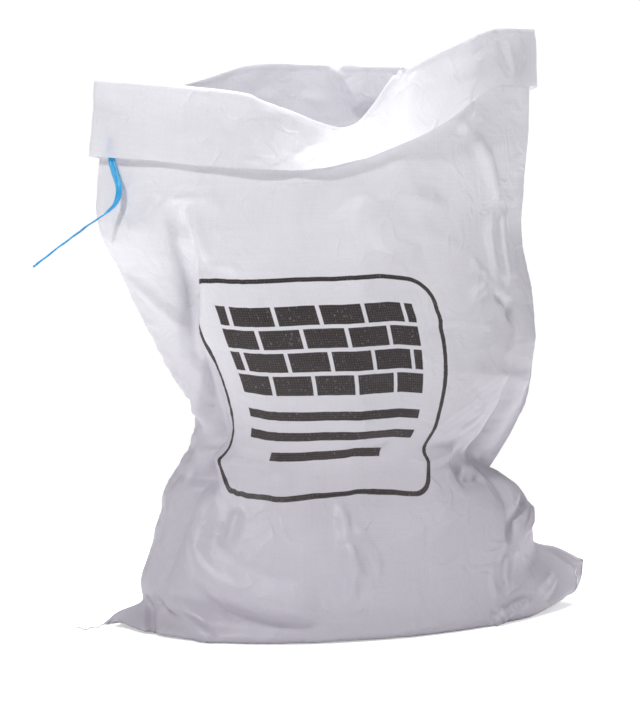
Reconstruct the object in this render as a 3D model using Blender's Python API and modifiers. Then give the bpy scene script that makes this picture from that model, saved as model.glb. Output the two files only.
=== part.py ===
"""A white woven polypropylene rubble sack, standing open on its sewn bottom.

The sack is one woven tube, sewn shut along its bottom hem, stood up so that its base bulges and its two
bottom corners stick out as ears. The mouth is open and turned down outwards as a cuff. A blue film tie
hangs out from under the cuff, and a thread closes the hem.

Units are metres, +Z is up, the front of the sack looks along -Y, and the origin is on the floor below
the middle of the sack.
"""

import bmesh
import bpy
import numpy as np
from mathutils import Matrix, Vector

# Driving dimensions of the sack
WALL = 0.0022  # modelled thickness of the fabric
SIDE_WALL = 0.0060  # modelled thickness where the fabric doubles back along a side crease
CUFF_GAP = 0.0048  # free space between the body and the turned down cuff
CUFF_FLARE = 0.0030  # how much wider that space is at the cuff's lower edge
CUFF_SLOT = 0.045  # how far up the cuff that free space runs
FLOOR_THICKNESS = 0.0080
FLOOR_INSET = 0.055  # how far the inside floor stays away from the ears
SETTLED = 0.004  # how much of the lowest section the weight presses flat on the floor
CONTACT_BAND = 0.35  # the base lies flat from this share of the way between its hem and its edge
MEASURED_CENTRE = (-0.0146, -0.0081, 0.0)  # middle of the footprint in the sections and routes below

# Driving dimensions of the tie and of the hem thread
TIE_WIDTH = 0.0075
TIE_THICKNESS = 0.0009
THREAD_DIAMETER = 0.0012
THREAD_CLEARANCE = 0.0004
THREAD_FROM_HEM = 0.10  # share of the way from the hem to the floor edge
THREAD_TAIL = ((-0.3040, -0.0150, 0.0030), (-0.2950, -0.0135, 0.0012), (-0.2840, -0.0125, 0.0018))

# Detail of the loft
HALF_COLUMNS = 40  # columns on the front, and as many on the back
FINE = 8  # points of an outline for each column
HALF_OUTLINE = HALF_COLUMNS * FINE
ROWS_PER_STATION = 2
DENSE = 400  # samples of a section before it is spaced evenly
CREASE_COLUMNS = 5  # columns beside a side crease where the wall thins from its doubled thickness

# One section of the tube for each height up the fabric: the corner where the left side crease is, the
# corner where the right side crease is, the middle of the front and the middle of the back. "Pointed"
# is 1 for a round section and 2 for one with sharp corners. A "lean" under 1 makes the left the fuller.
#    left x, z          right x, z        front y, z        back y, z      pointed  lean
SECTIONS = (
    ((-0.256, 0.0200), (0.266, 0.0540), (-0.145, 0.000), (0.124, 0.000), 1.40, 0.84),
    ((-0.230, 0.0250), (0.243, 0.0620), (-0.149, 0.020), (0.132, 0.019), 1.30, 0.86),
    ((-0.230, 0.0420), (0.216, 0.0690), (-0.151, 0.052), (0.137, 0.052), 1.15, 0.88),
    ((-0.219, 0.0720), (0.207, 0.0850), (-0.145, 0.089), (0.133, 0.089), 1.00, 0.92),
    ((-0.209, 0.1050), (0.205, 0.1040), (-0.133, 0.123), (0.122, 0.124), 1.00, 0.96),
    ((-0.202, 0.1350), (0.192, 0.1240), (-0.120, 0.149), (0.110, 0.151), 1.00, 1.00),
    ((-0.188, 0.1620), (0.168, 0.1340), (-0.113, 0.170), (0.102, 0.175), 1.00, 1.00),
    ((-0.175, 0.1920), (0.143, 0.1360), (-0.113, 0.192), (0.102, 0.198), 1.00, 1.00),
    ((-0.173, 0.2270), (0.161, 0.1530), (-0.116, 0.221), (0.105, 0.226), 1.00, 1.00),
    ((-0.195, 0.2620), (0.196, 0.2100), (-0.119, 0.265), (0.107, 0.268), 1.05, 1.00),
    ((-0.225, 0.3180), (0.210, 0.2620), (-0.118, 0.317), (0.107, 0.318), 1.10, 1.00),
    ((-0.249, 0.3740), (0.208, 0.3300), (-0.113, 0.370), (0.103, 0.373), 1.20, 1.00),
    ((-0.275, 0.4270), (0.198, 0.4120), (-0.105, 0.420), (0.097, 0.426), 1.30, 1.00),
    ((-0.277, 0.4620), (0.201, 0.4750), (-0.098, 0.452), (0.093, 0.464), 1.40, 1.00),
)

# The hem, where the tube is sewn flat: it runs under the base, comes out at the front right,
# and climbs to the tip of the upright right ear.
HEM = (
    (-0.276, -0.006, 0.0030),
    (-0.215, 0.004, 0.0045),
    (-0.120, 0.024, 0.0050),
    (-0.010, 0.038, 0.0050),
    (0.060, 0.024, 0.0050),
    (0.122, -0.010, 0.0045),
    (0.176, -0.026, 0.0045),
    (0.216, -0.017, 0.0060),
    (0.258, -0.006, 0.0085),
    (0.271, -0.002, 0.0240),
    (0.275, 0.001, 0.0460),
)

# Lower edge of the cuff and the rim of the mouth, each as its front and its back from left to right
CUFF_FRONT = (
    (-0.274, 0.000, 0.498),
    (-0.222, -0.048, 0.494),
    (-0.165, -0.073, 0.488),
    (-0.075, -0.089, 0.484),
    (-0.020, -0.090, 0.495),
    (0.036, -0.088, 0.515),
    (0.075, -0.080, 0.534),
    (0.108, -0.067, 0.555),
    (0.136, -0.050, 0.570),
    (0.165, -0.032, 0.576),
    (0.207, 0.000, 0.574),
)
CUFF_BACK = (
    (-0.274, 0.000, 0.498),
    (-0.212, 0.053, 0.489),
    (-0.120, 0.082, 0.497),
    (-0.010, 0.091, 0.514),
    (0.090, 0.084, 0.519),
    (0.155, 0.050, 0.539),
    (0.207, 0.000, 0.574),
)
RIM_FRONT = (
    (-0.273, 0.000, 0.579),
    (-0.205, -0.050, 0.572),
    (-0.138, -0.070, 0.564),
    (-0.116, -0.072, 0.556),
    (-0.075, -0.064, 0.542),
    (-0.042, -0.052, 0.531),
    (-0.020, -0.045, 0.528),
    (-0.003, -0.041, 0.534),
    (0.012, -0.045, 0.552),
    (0.032, -0.055, 0.584),
    (0.052, -0.061, 0.596),
    (0.100, -0.057, 0.618),
    (0.132, -0.044, 0.631),
    (0.158, -0.029, 0.637),
    (0.207, 0.000, 0.638),
)
RIM_BACK = (
    (-0.273, 0.000, 0.579),
    (-0.238, 0.033, 0.566),
    (-0.182, 0.060, 0.574),
    (-0.137, 0.074, 0.586),
    (-0.088, 0.083, 0.600),
    (-0.013, 0.088, 0.601),
    (0.060, 0.083, 0.599),
    (0.112, 0.070, 0.601),
    (0.168, 0.037, 0.618),
    (0.207, 0.000, 0.638),
)

# The sack laid flat is this wide, so the cloth once round is twice as long.
FLAT_WIDTH = 0.560

# Lengthwise tucks where the waist takes up the spare cloth. For places up the cloth, as a share of the
# way from the hem to the cuff's lower edge: how far round from the left side crease the valley lies,
# along the front and on along the back, how wide the cloth in it is, and the share of it that goes in.
TUCKS = (
    (
        (0.14, 0.085, 0.100, 0.00),
        (0.30, 0.080, 0.100, 0.08),
        (0.42, 0.078, 0.105, 0.26),
        (0.50, 0.080, 0.100, 0.28),
        (0.62, 0.087, 0.090, 0.24),
        (0.80, 0.096, 0.080, 0.20),
        (0.905, 0.102, 0.055, 0.14),
        (0.945, 0.104, 0.045, 0.00),
    ),
    (
        (0.20, 0.455, 0.080, 0.00),
        (0.34, 0.462, 0.085, 0.10),
        (0.44, 0.470, 0.090, 0.24),
        (0.52, 0.472, 0.080, 0.14),
        (0.62, 0.472, 0.070, 0.04),
        (0.70, 0.470, 0.060, 0.00),
    ),
    (
        (0.18, 0.690, 0.080, 0.00),
        (0.34, 0.690, 0.090, 0.08),
        (0.45, 0.690, 0.100, 0.20),
        (0.58, 0.690, 0.090, 0.10),
        (0.90, 0.680, 0.060, 0.00),
    ),
    (
        (0.14, 0.840, 0.080, 0.00),
        (0.34, 0.845, 0.090, 0.07),
        (0.45, 0.850, 0.100, 0.18),
        (0.60, 0.855, 0.080, 0.04),
        (0.72, 0.860, 0.070, 0.00),
    ),
    (
        (0.20, 1.000, 0.080, 0.00),
        (0.36, 0.995, 0.090, 0.09),
        (0.46, 0.990, 0.100, 0.22),
        (0.58, 0.990, 0.090, 0.12),
        (0.90, 0.980, 0.060, 0.03),
        (0.96, 0.980, 0.050, 0.00),
    ),
)

# Route of the tie, from inside the cuff to its loose end, with the direction of its width at each point
TIE_ROUTE = (
    (-0.2620, -0.0143, 0.5160),
    (-0.2632, -0.0150, 0.4970),
    (-0.2615, -0.0230, 0.4820),
    (-0.2590, -0.0330, 0.4670),
    (-0.2620, -0.0365, 0.4520),
    (-0.2711, -0.0360, 0.4410),
    (-0.2817, -0.0330, 0.4335),
    (-0.2961, -0.0290, 0.4234),
    (-0.3217, -0.0245, 0.4040),
    (-0.3472, -0.0200, 0.3845),
)
TIE_ACROSS = (
    (0.70, -0.70, 0.0),
    (0.70, -0.70, 0.0),
    (0.80, -0.60, 0.1),
    (0.80, -0.50, 0.3),
    (0.60, -0.60, 0.5),
    (0.40, -0.80, 0.4),
    (0.20, -0.90, 0.3),
    (0.15, -0.95, 0.3),
    (0.15, -0.95, 0.3),
    (0.15, -0.95, 0.3),
)
TIE_STEPS = 30
THREAD_STEPS = 66

FABRIC_WHITE = (0.800, 0.790, 0.840, 1.0)
TIE_BLUE = (0.015, 0.420, 0.780, 1.0)
THREAD_WHITE = (0.720, 0.710, 0.740, 1.0)


def smooth_through(points, count):
    """count points, evenly spaced along a Catmull-Rom curve through the given points."""
    points = np.asarray(points, float)
    ahead = 2 * points[-1] - points[-2]
    behind = 2 * points[0] - points[1]
    padded = np.vstack([behind, points, ahead])
    spans = len(points) - 1
    at = np.linspace(0, spans, DENSE * 2)
    span = np.minimum(at.astype(int), spans - 1)
    t = (at - span)[:, None]
    a, b, c, d = (padded[span + k] for k in range(4))
    curve = 0.5 * (2 * b + (c - a) * t + (2 * a - 5 * b + 4 * c - d) * t**2 + (3 * b - a - 3 * c + d) * t**3)
    return evenly(curve, count)


def evenly(curve, count):
    """The curve again, as count points with equal lengths of it between them."""
    steps = np.linalg.norm(np.diff(curve, axis=0), axis=1)
    along = np.concatenate([[0.0], np.cumsum(steps)])
    at = np.linspace(0, along[-1], count)
    return np.stack([np.interp(at, along, curve[:, k]) for k in range(3)], axis=1)


def closed_ring(front, back):
    """A ring that runs left to right along the front and comes back along the back."""
    return np.vstack([front, back[-2:0:-1]])


def half_section(left, right, middle, pointed, lean):
    """Half a section from the left corner to the right one, bowed out to the middle of a face."""
    t = np.linspace(0, 1, DENSE)
    bow = np.abs(np.sin(np.pi * t**lean)) ** pointed
    x = left[0] + (right[0] - left[0]) * (1 - np.cos(np.pi * t)) / 2
    corners = left[1] + (right[1] - left[1]) * (x - left[0]) / (right[0] - left[0])
    z = corners + (middle[1] - corners) * np.sqrt(np.abs(np.sin(np.pi * t)))
    return evenly(np.stack([x, middle[0] * bow, z], axis=1), HALF_OUTLINE + 1)


def section_ring(left, right, front, back, pointed, lean):
    """The whole section, as a ring of points with even steps along its front and its back."""
    return closed_ring(
        half_section(left, right, front, pointed, lean),
        half_section(left, right, back, pointed, 1.0),
    )


def hem_ring():
    """The hem, where the front and the back of the tube meet, as a ring of no width."""
    line = smooth_through(HEM, HALF_OUTLINE + 1)
    return closed_ring(line, line)


def outline_ring(front, back):
    """A ring through two outlines that meet at their ends."""
    return closed_ring(
        smooth_through(front, HALF_OUTLINE + 1),
        smooth_through(back, HALF_OUTLINE + 1),
    )


def pressed_flat(ring):
    """The ring with what comes near the floor pressed onto it."""
    ring = ring.copy()
    ring[:, 2] = np.maximum(ring[:, 2] - SETTLED, 0)
    return ring


def floor_rings():
    """The two rings between which the base lies flat on the floor."""
    edge = pressed_flat(section_ring(*SECTIONS[0]))
    hem = hem_ring()
    inner = hem + (edge - hem) * CONTACT_BAND
    lifted = inner[:, 2].copy()
    inner[:, 2] = np.where(edge[:, 2] <= 0, 0, lifted)
    return inner, edge


def grown(ring, sides, faces):
    """The ring moved out by one distance at its corners and another at its front and back."""
    left, right = ring[0], ring[len(ring) // 2]
    centre = (left + right) / 2
    half_width = (right[0] - left[0]) / 2
    half_depth = np.abs(ring[:, 1]).max()
    moved = ring.copy()
    moved[:, 0] = centre[0] + (ring[:, 0] - centre[0]) * (1 + sides / half_width)
    moved[:, 1] = ring[:, 1] * (1 + faces / half_depth)
    return moved


def lofted(rings, rows):
    """More rings, on smooth curves through the given ones."""
    stack = np.asarray(rings)
    padded = np.concatenate([[2 * stack[0] - stack[1]], stack, [2 * stack[-1] - stack[-2]]])
    at = np.linspace(0, len(stack) - 1, (len(stack) - 1) * rows + 1)
    span = np.minimum(at.astype(int), len(stack) - 2)
    t = (at - span)[:, None, None]
    a, b, c, d = (padded[span + k] for k in range(4))
    return 0.5 * (2 * b + (c - a) * t + (2 * a - 5 * b + 4 * c - d) * t**2 + (3 * b - a - 3 * c + d) * t**3)


def running_total(values):
    """The area under the values up to each of them, with steps of one."""
    return np.concatenate([[0.0], np.cumsum((values[1:] + values[:-1]) / 2)])


def tucked(ring, heights):
    """One ring of columns with its tucks, from an outline and how far up the cloth its points are.

    Where a share of the cloth goes into a tuck, the outline keeps the rest of it, and the cloth runs
    inwards as the other side of a right-angled triangle.
    """
    step = FLAT_WIDTH / HALF_OUTLINE
    points = np.arange(HALF_OUTLINE + 1)
    faces = []
    for first in (0, HALF_OUTLINE):
        at = first + points
        outline, up = ring[at % len(ring)], heights[at % len(ring)]
        gone, slope = np.zeros(len(at)), np.zeros(len(at))
        for tuck in TUCKS:
            table = np.asarray(tuck)
            valley, width, closing = (np.interp(up, table[:, 0], table[:, k]) for k in (1, 2, 3))
            away = (at * step - valley) / width
            share = np.where(np.abs(away) < 0.5, closing * (0.5 + 0.5 * np.cos(2 * np.pi * away)), 0.0)
            gone += share
            slope += np.sign(away) * np.sqrt(1 - (1 - share) ** 2)
        kept = running_total(1 - gone)
        depth = running_total(slope) * step
        depth -= depth[-1] * points / HALF_OUTLINE
        places = (kept / kept[-1] * HALF_OUTLINE)[::FINE]
        line = np.stack([np.interp(places, points, outline[:, k]) for k in range(3)], axis=1)
        along = np.gradient(line, axis=0)[:, :2]
        along /= np.linalg.norm(along, axis=1)[:, None]
        line[:, 0] += along[:, 1] * depth[::FINE]
        line[:, 1] -= along[:, 0] * depth[::FINE]
        faces.append(line[:-1])
    return np.vstack(faces)


def body_rings():
    """The outside of the sack, from the floor edge to the lower edge of the cuff."""
    sections = [pressed_flat(section_ring(*SECTIONS[0]))]
    sections += [section_ring(*section) for section in SECTIONS[1:]]
    sections.append(outline_ring(CUFF_FRONT, CUFF_BACK))
    outlines = lofted(sections, ROWS_PER_STATION)
    cloth = np.concatenate([[hem_ring(), floor_rings()[0]], outlines])
    lengths = np.cumsum(np.linalg.norm(np.diff(cloth, axis=0), axis=2), axis=0)
    return [tucked(ring, heights) for ring, heights in zip(outlines, lengths[1:] / lengths[-1])]


def lined(ring):
    """The inner face of the cloth along a ring, further in where its front and back meet."""
    along = np.roll(ring, -1, axis=0) - np.roll(ring, 1, axis=0)
    outward = np.stack([along[:, 1], -along[:, 0], np.zeros(len(ring))], axis=1)
    outward /= np.linalg.norm(outward, axis=1)[:, None]
    column = np.arange(len(ring)) % HALF_COLUMNS
    from_crease = np.minimum(column, HALF_COLUMNS - column)[:, None]
    plain = np.clip(from_crease / CREASE_COLUMNS, 0, 1)
    return grown(ring, -SIDE_WALL, -WALL) * (1 - plain) + (ring - outward * WALL) * plain


def sack_rings():
    """Every ring of the sack's closed skin: underside, body, cuff, rim, and back down inside."""
    underside = [hem_ring()[::FINE], floor_rings()[0][::FINE]]
    body = body_rings()
    cuff_edge = body[-1]
    rim = outline_ring(RIM_FRONT, RIM_BACK)[::FINE]
    cuff_height = np.linalg.norm(rim - cuff_edge, axis=1).mean()
    slot_top = cuff_edge + (rim - cuff_edge) * (CUFF_SLOT / cuff_height)
    out = CUFF_GAP + WALL
    wide = CUFF_GAP + CUFF_FLARE
    slot = [slot_top, grown(slot_top, CUFF_GAP, CUFF_GAP), grown(cuff_edge, wide, wide)]
    middle = cuff_edge + (rim - cuff_edge) / 2
    cuff = [grown(cuff_edge, wide + WALL, wide + WALL), grown(middle, out, out)]
    cuff.append(grown(rim, out, out) - [0, 0, WALL])
    top = [rim + [0, 0, WALL]]
    inside = [grown(rim, -SIDE_WALL, -WALL), grown(slot_top, -SIDE_WALL, -WALL)]
    inside += [lined(ring) for ring in body[:ROWS_PER_STATION:-1]]
    floor = grown(body[0], -FLOOR_INSET, -3 * WALL)
    floor[:, 2] = FLOOR_THICKNESS
    return [*underside, *body, *slot, *cuff, *top, *inside, floor]


def mesh_object(name, mesh, colour, roughness, collection):
    """An object with a plain material of its own, in the collection, with the origin below its middle."""
    mesh.transform(Matrix.Translation(-Vector(MEASURED_CENTRE)))
    made = bpy.data.objects.new(name, mesh)
    material = bpy.data.materials.new(name)
    material.use_nodes = True
    shader = material.node_tree.nodes["Principled BSDF"]
    shader.inputs["Base Color"].default_value = colour
    shader.inputs["Roughness"].default_value = roughness
    shader.inputs["Metallic"].default_value = 0.0
    made.data.materials.append(material)
    collection.objects.link(made)
    return made


def make_sack(collection):
    """The woven tube as one closed skin, lofted through its rings."""
    bm = bmesh.new()
    rings = [[bm.verts.new(point) for point in ring] for ring in sack_rings()]
    columns = 2 * HALF_COLUMNS
    for lower, upper in zip(rings, rings[1:]):
        for i in range(columns):
            j = (i + 1) % columns
            bm.faces.new((lower[i], lower[j], upper[j], upper[i]))
    middle = bm.verts.new((0, 0, FLOOR_THICKNESS))
    last = rings[-1]
    for i in range(columns):
        bm.faces.new((last[i], last[(i + 1) % columns], middle))
    bmesh.ops.remove_doubles(bm, verts=bm.verts, dist=0.00002)
    bmesh.ops.triangulate(bm, faces=bm.faces)
    bmesh.ops.recalc_face_normals(bm, faces=bm.faces)
    mesh = bpy.data.meshes.new("sack")
    bm.to_mesh(mesh)
    bm.free()
    mesh.shade_smooth()
    return mesh_object("sack", mesh, FABRIC_WHITE, 0.42, collection)


def make_tie(collection):
    """The film tie, a flat strip that turns on edge as it leaves the sack."""
    route = smooth_through(TIE_ROUTE, TIE_STEPS)
    across = smooth_through(TIE_ACROSS, TIE_STEPS)
    along = np.gradient(route, axis=0)
    along /= np.linalg.norm(along, axis=1)[:, None]
    across -= along * (across * along).sum(axis=1)[:, None]
    across *= TIE_WIDTH / 2 / np.linalg.norm(across, axis=1)[:, None]
    bm = bmesh.new()
    rows = [[bm.verts.new(place - half), bm.verts.new(place + half)] for place, half in zip(route, across)]
    for (a, b), (c, d) in zip(rows, rows[1:]):
        bm.faces.new((a, b, d, c))
    mesh = bpy.data.meshes.new("tie_tape")
    bm.to_mesh(mesh)
    bm.free()
    tie = mesh_object("tie_tape", mesh, TIE_BLUE, 0.35, collection)
    solid = tie.modifiers.new("film", "SOLIDIFY")
    solid.thickness = TIE_THICKNESS
    solid.offset = 0
    return tie


def make_thread(collection):
    """The thread that closes the hem, along the outside of its front layer."""
    hem = hem_ring()[: HALF_OUTLINE + 1 : FINE]
    edge = floor_rings()[0][: HALF_OUTLINE + 1 : FINE]
    line = hem + (edge - hem) * THREAD_FROM_HEM
    along = np.gradient(line, axis=0)
    across = edge - hem
    outward = np.cross(along, across)
    outward[[0, -1]] = outward[[1, -2]]
    outward /= np.linalg.norm(outward, axis=1)[:, None]
    line += outward * (THREAD_DIAMETER / 2 + THREAD_CLEARANCE)
    curve = bpy.data.curves.new("hem_thread", "CURVE")
    curve.dimensions = "3D"
    curve.bevel_depth = THREAD_DIAMETER / 2
    curve.bevel_resolution = 1
    curve.use_fill_caps = True
    points = smooth_through(np.vstack([THREAD_TAIL, line[1:-1]]), THREAD_STEPS)
    spline = curve.splines.new("POLY")
    spline.points.add(len(points) - 1)
    for point, place in zip(spline.points, points):
        point.co = (*place, 1)
    return mesh_object("hem_thread", curve, THREAD_WHITE, 0.6, collection)


def main():
    """Clears the scene and builds the sack, its tie and its hem thread."""
    for old in list(bpy.data.objects):
        bpy.data.objects.remove(old)
    collection = bpy.data.collections.new("rubble_sack")
    bpy.context.scene.collection.children.link(collection)
    make_sack(collection)
    make_tie(collection)
    make_thread(collection)


main()
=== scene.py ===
"""The looks of a white woven polypropylene rubble sack, standing open with its cuff turned down.

The sack is one sheet of cloth, sewn to a tube. Its surface is a grid of two parameters. The first, u, runs
once round the tube in metres of cloth: along the front from the left side crease to the right one, and back
along the back. The second, v, runs up the cloth: 0 at the bottom hem, 1 where the lower edge of the cuff
lies on the body, 2 at the rim of the mouth, and 3 at the free edge of the turned down cuff.

A loft through the sections of the CAD model gives the overall form. Lengthwise tucks take up the cloth that
the narrow waist has to spare, pressed folds give the lines that the sack kept from its packing, and a cloth
relaxation then gives every strip of cloth its own length back, which buckles it where it has too much.

Units are metres. +Z is up, the front of the sack looks along -Y.
"""

import logging
import math
from collections.abc import Callable, Sequence
from dataclasses import dataclass, field
from enum import Enum

import bpy
import numpy as np
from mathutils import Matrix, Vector

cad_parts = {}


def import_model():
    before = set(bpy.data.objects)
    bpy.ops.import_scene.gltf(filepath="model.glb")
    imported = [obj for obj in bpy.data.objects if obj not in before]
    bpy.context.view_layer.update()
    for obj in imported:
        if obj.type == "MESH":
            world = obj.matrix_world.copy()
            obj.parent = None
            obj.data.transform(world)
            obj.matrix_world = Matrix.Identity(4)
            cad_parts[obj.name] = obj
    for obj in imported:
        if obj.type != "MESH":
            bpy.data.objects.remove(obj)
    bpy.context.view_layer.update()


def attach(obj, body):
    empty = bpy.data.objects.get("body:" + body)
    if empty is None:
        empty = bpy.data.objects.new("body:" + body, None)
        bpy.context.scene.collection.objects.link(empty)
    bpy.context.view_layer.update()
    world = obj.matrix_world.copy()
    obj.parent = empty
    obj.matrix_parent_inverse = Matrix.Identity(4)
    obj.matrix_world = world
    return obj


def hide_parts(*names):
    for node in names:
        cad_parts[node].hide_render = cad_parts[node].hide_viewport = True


log = logging.getLogger("rubble_sack")

Point = tuple[float, float, float]
Pair = tuple[float, float]
Colour = tuple[float, float, float, float]


# Curves and grids


def catmull_rom(points: np.ndarray, at: np.ndarray) -> np.ndarray:
    """A smooth curve through points, read at positions counted in points.

    Args:
        points: control points along the first axis, of any shape after it.
        at: where to read the curve, from 0 to the number of points less one.

    Returns:
        The curve's values, one for each position.
    """
    padded = np.concatenate([[2 * points[0] - points[1]], points, [2 * points[-1] - points[-2]]])
    span = np.clip(at.astype(int), 0, len(points) - 2)
    t = (at - span).reshape((-1,) + (1,) * (points.ndim - 1))
    a, b, c, d = (padded[span + k] for k in range(4))
    return 0.5 * (2 * b + (c - a) * t + (2 * a - 5 * b + 4 * c - d) * t**2 + (3 * b - a - 3 * c + d) * t**3)


def evenly(curve: np.ndarray, count: int) -> np.ndarray:
    """The curve again, as count points with equal lengths of it between them."""
    steps = np.linalg.norm(np.diff(curve, axis=0), axis=1)
    along = np.concatenate([[0.0], np.cumsum(steps)])
    at = np.linspace(0.0, along[-1], count)
    return np.stack([np.interp(at, along, curve[:, k]) for k in range(curve.shape[1])], axis=1)


def smooth_through(points: Sequence[Point], count: int) -> np.ndarray:
    """count points, evenly spaced along a smooth curve through the given ones."""
    control = np.asarray(points, float)
    return evenly(catmull_rom(control, np.linspace(0, len(control) - 1, 800)), count)


def smoothstep(low: float, high: float, value: np.ndarray) -> np.ndarray:
    """0 below low, 1 above high, and a smooth rise between."""
    t = np.clip((value - low) / (high - low), 0.0, 1.0)
    return t * t * (3 - 2 * t)


def lattice_noise(u: np.ndarray, s: np.ndarray, cell: float, around: float, seed: int) -> np.ndarray:
    """Smooth random values, from -1 to 1, that join up once round the tube.

    A lattice of seeded random numbers is read between its points with a quintic fade.

    Args:
        u: place round the tube, in metres.
        s: place up the cloth, in metres.
        cell: the size of a lattice cell, in metres.
        around: the length once round the tube, in metres.
        seed: which random numbers.

    Returns:
        One value for each place.
    """
    columns = max(2, round(around / cell))
    rows = int(s.max() / cell) + 3
    lattice = np.random.default_rng(seed).uniform(-1, 1, (rows, columns))
    x, y = u / around * columns, s / cell
    i, j = np.floor(y).astype(int), np.floor(x).astype(int)
    fy, fx = y - i, x - j
    fy, fx = (f * f * f * (f * (6 * f - 15) + 10) for f in (fy, fx))
    i = np.clip(i, 0, rows - 2)
    j, k = j % columns, (j + 1) % columns
    low = lattice[i, j] * (1 - fx) + lattice[i, k] * fx
    high = lattice[i + 1, j] * (1 - fx) + lattice[i + 1, k] * fx
    return low * (1 - fy) + high * fy


# The form of the sack


@dataclass(frozen=True)
class Section:
    """One section of the tube, as in the CAD model.

    Attributes:
        left: x and z of the corner where the left side crease is.
        right: the same for the right side crease.
        front: y and z of the middle of the front.
        back: y and z of the middle of the back.
        pointed: 1 for a round section, 2 for one with sharp corners.
        lean: under 1, the left of the front is the fuller.
    """

    left: Pair
    right: Pair
    front: Pair
    back: Pair
    pointed: float
    lean: float = 1.0

    def half(self, middle: Pair, lean: float, count: int) -> np.ndarray:
        """The front or the back of the section, from its left corner to its right one."""
        t = np.linspace(0, 1, 400)
        bow = np.abs(np.sin(np.pi * t**lean))
        x = self.left[0] + (self.right[0] - self.left[0]) * (1 - np.cos(np.pi * t)) / 2
        corners = self.left[1] + (self.right[1] - self.left[1]) * (x - self.left[0]) / (
            self.right[0] - self.left[0]
        )
        z = corners + (middle[1] - corners) * np.sqrt(np.abs(np.sin(np.pi * t)))
        return evenly(np.stack([x, middle[0] * bow**self.pointed, z], axis=1), count)


@dataclass(frozen=True)
class Tuck:
    """A lengthwise fold whose valley runs down the sack and takes up cloth.

    Attributes:
        stations: for places up the body, v, the u of the valley in metres, the width of the cloth in the
            fold in metres, and the share of the cloth that disappears into it at its middle.
        outward: 1 if it stands out as a ridge, -1 if it is a valley.
    """

    stations: tuple[tuple[float, float, float, float], ...]
    outward: float = -1.0

    def along(self, v: np.ndarray) -> tuple[np.ndarray, np.ndarray, np.ndarray]:
        """The place, the width and the closing of the fold at each v."""
        table = np.asarray(self.stations)
        centre, width, closing = (np.interp(v, table[:, 0], table[:, k]) for k in (1, 2, 3))
        return centre, width, closing


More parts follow.
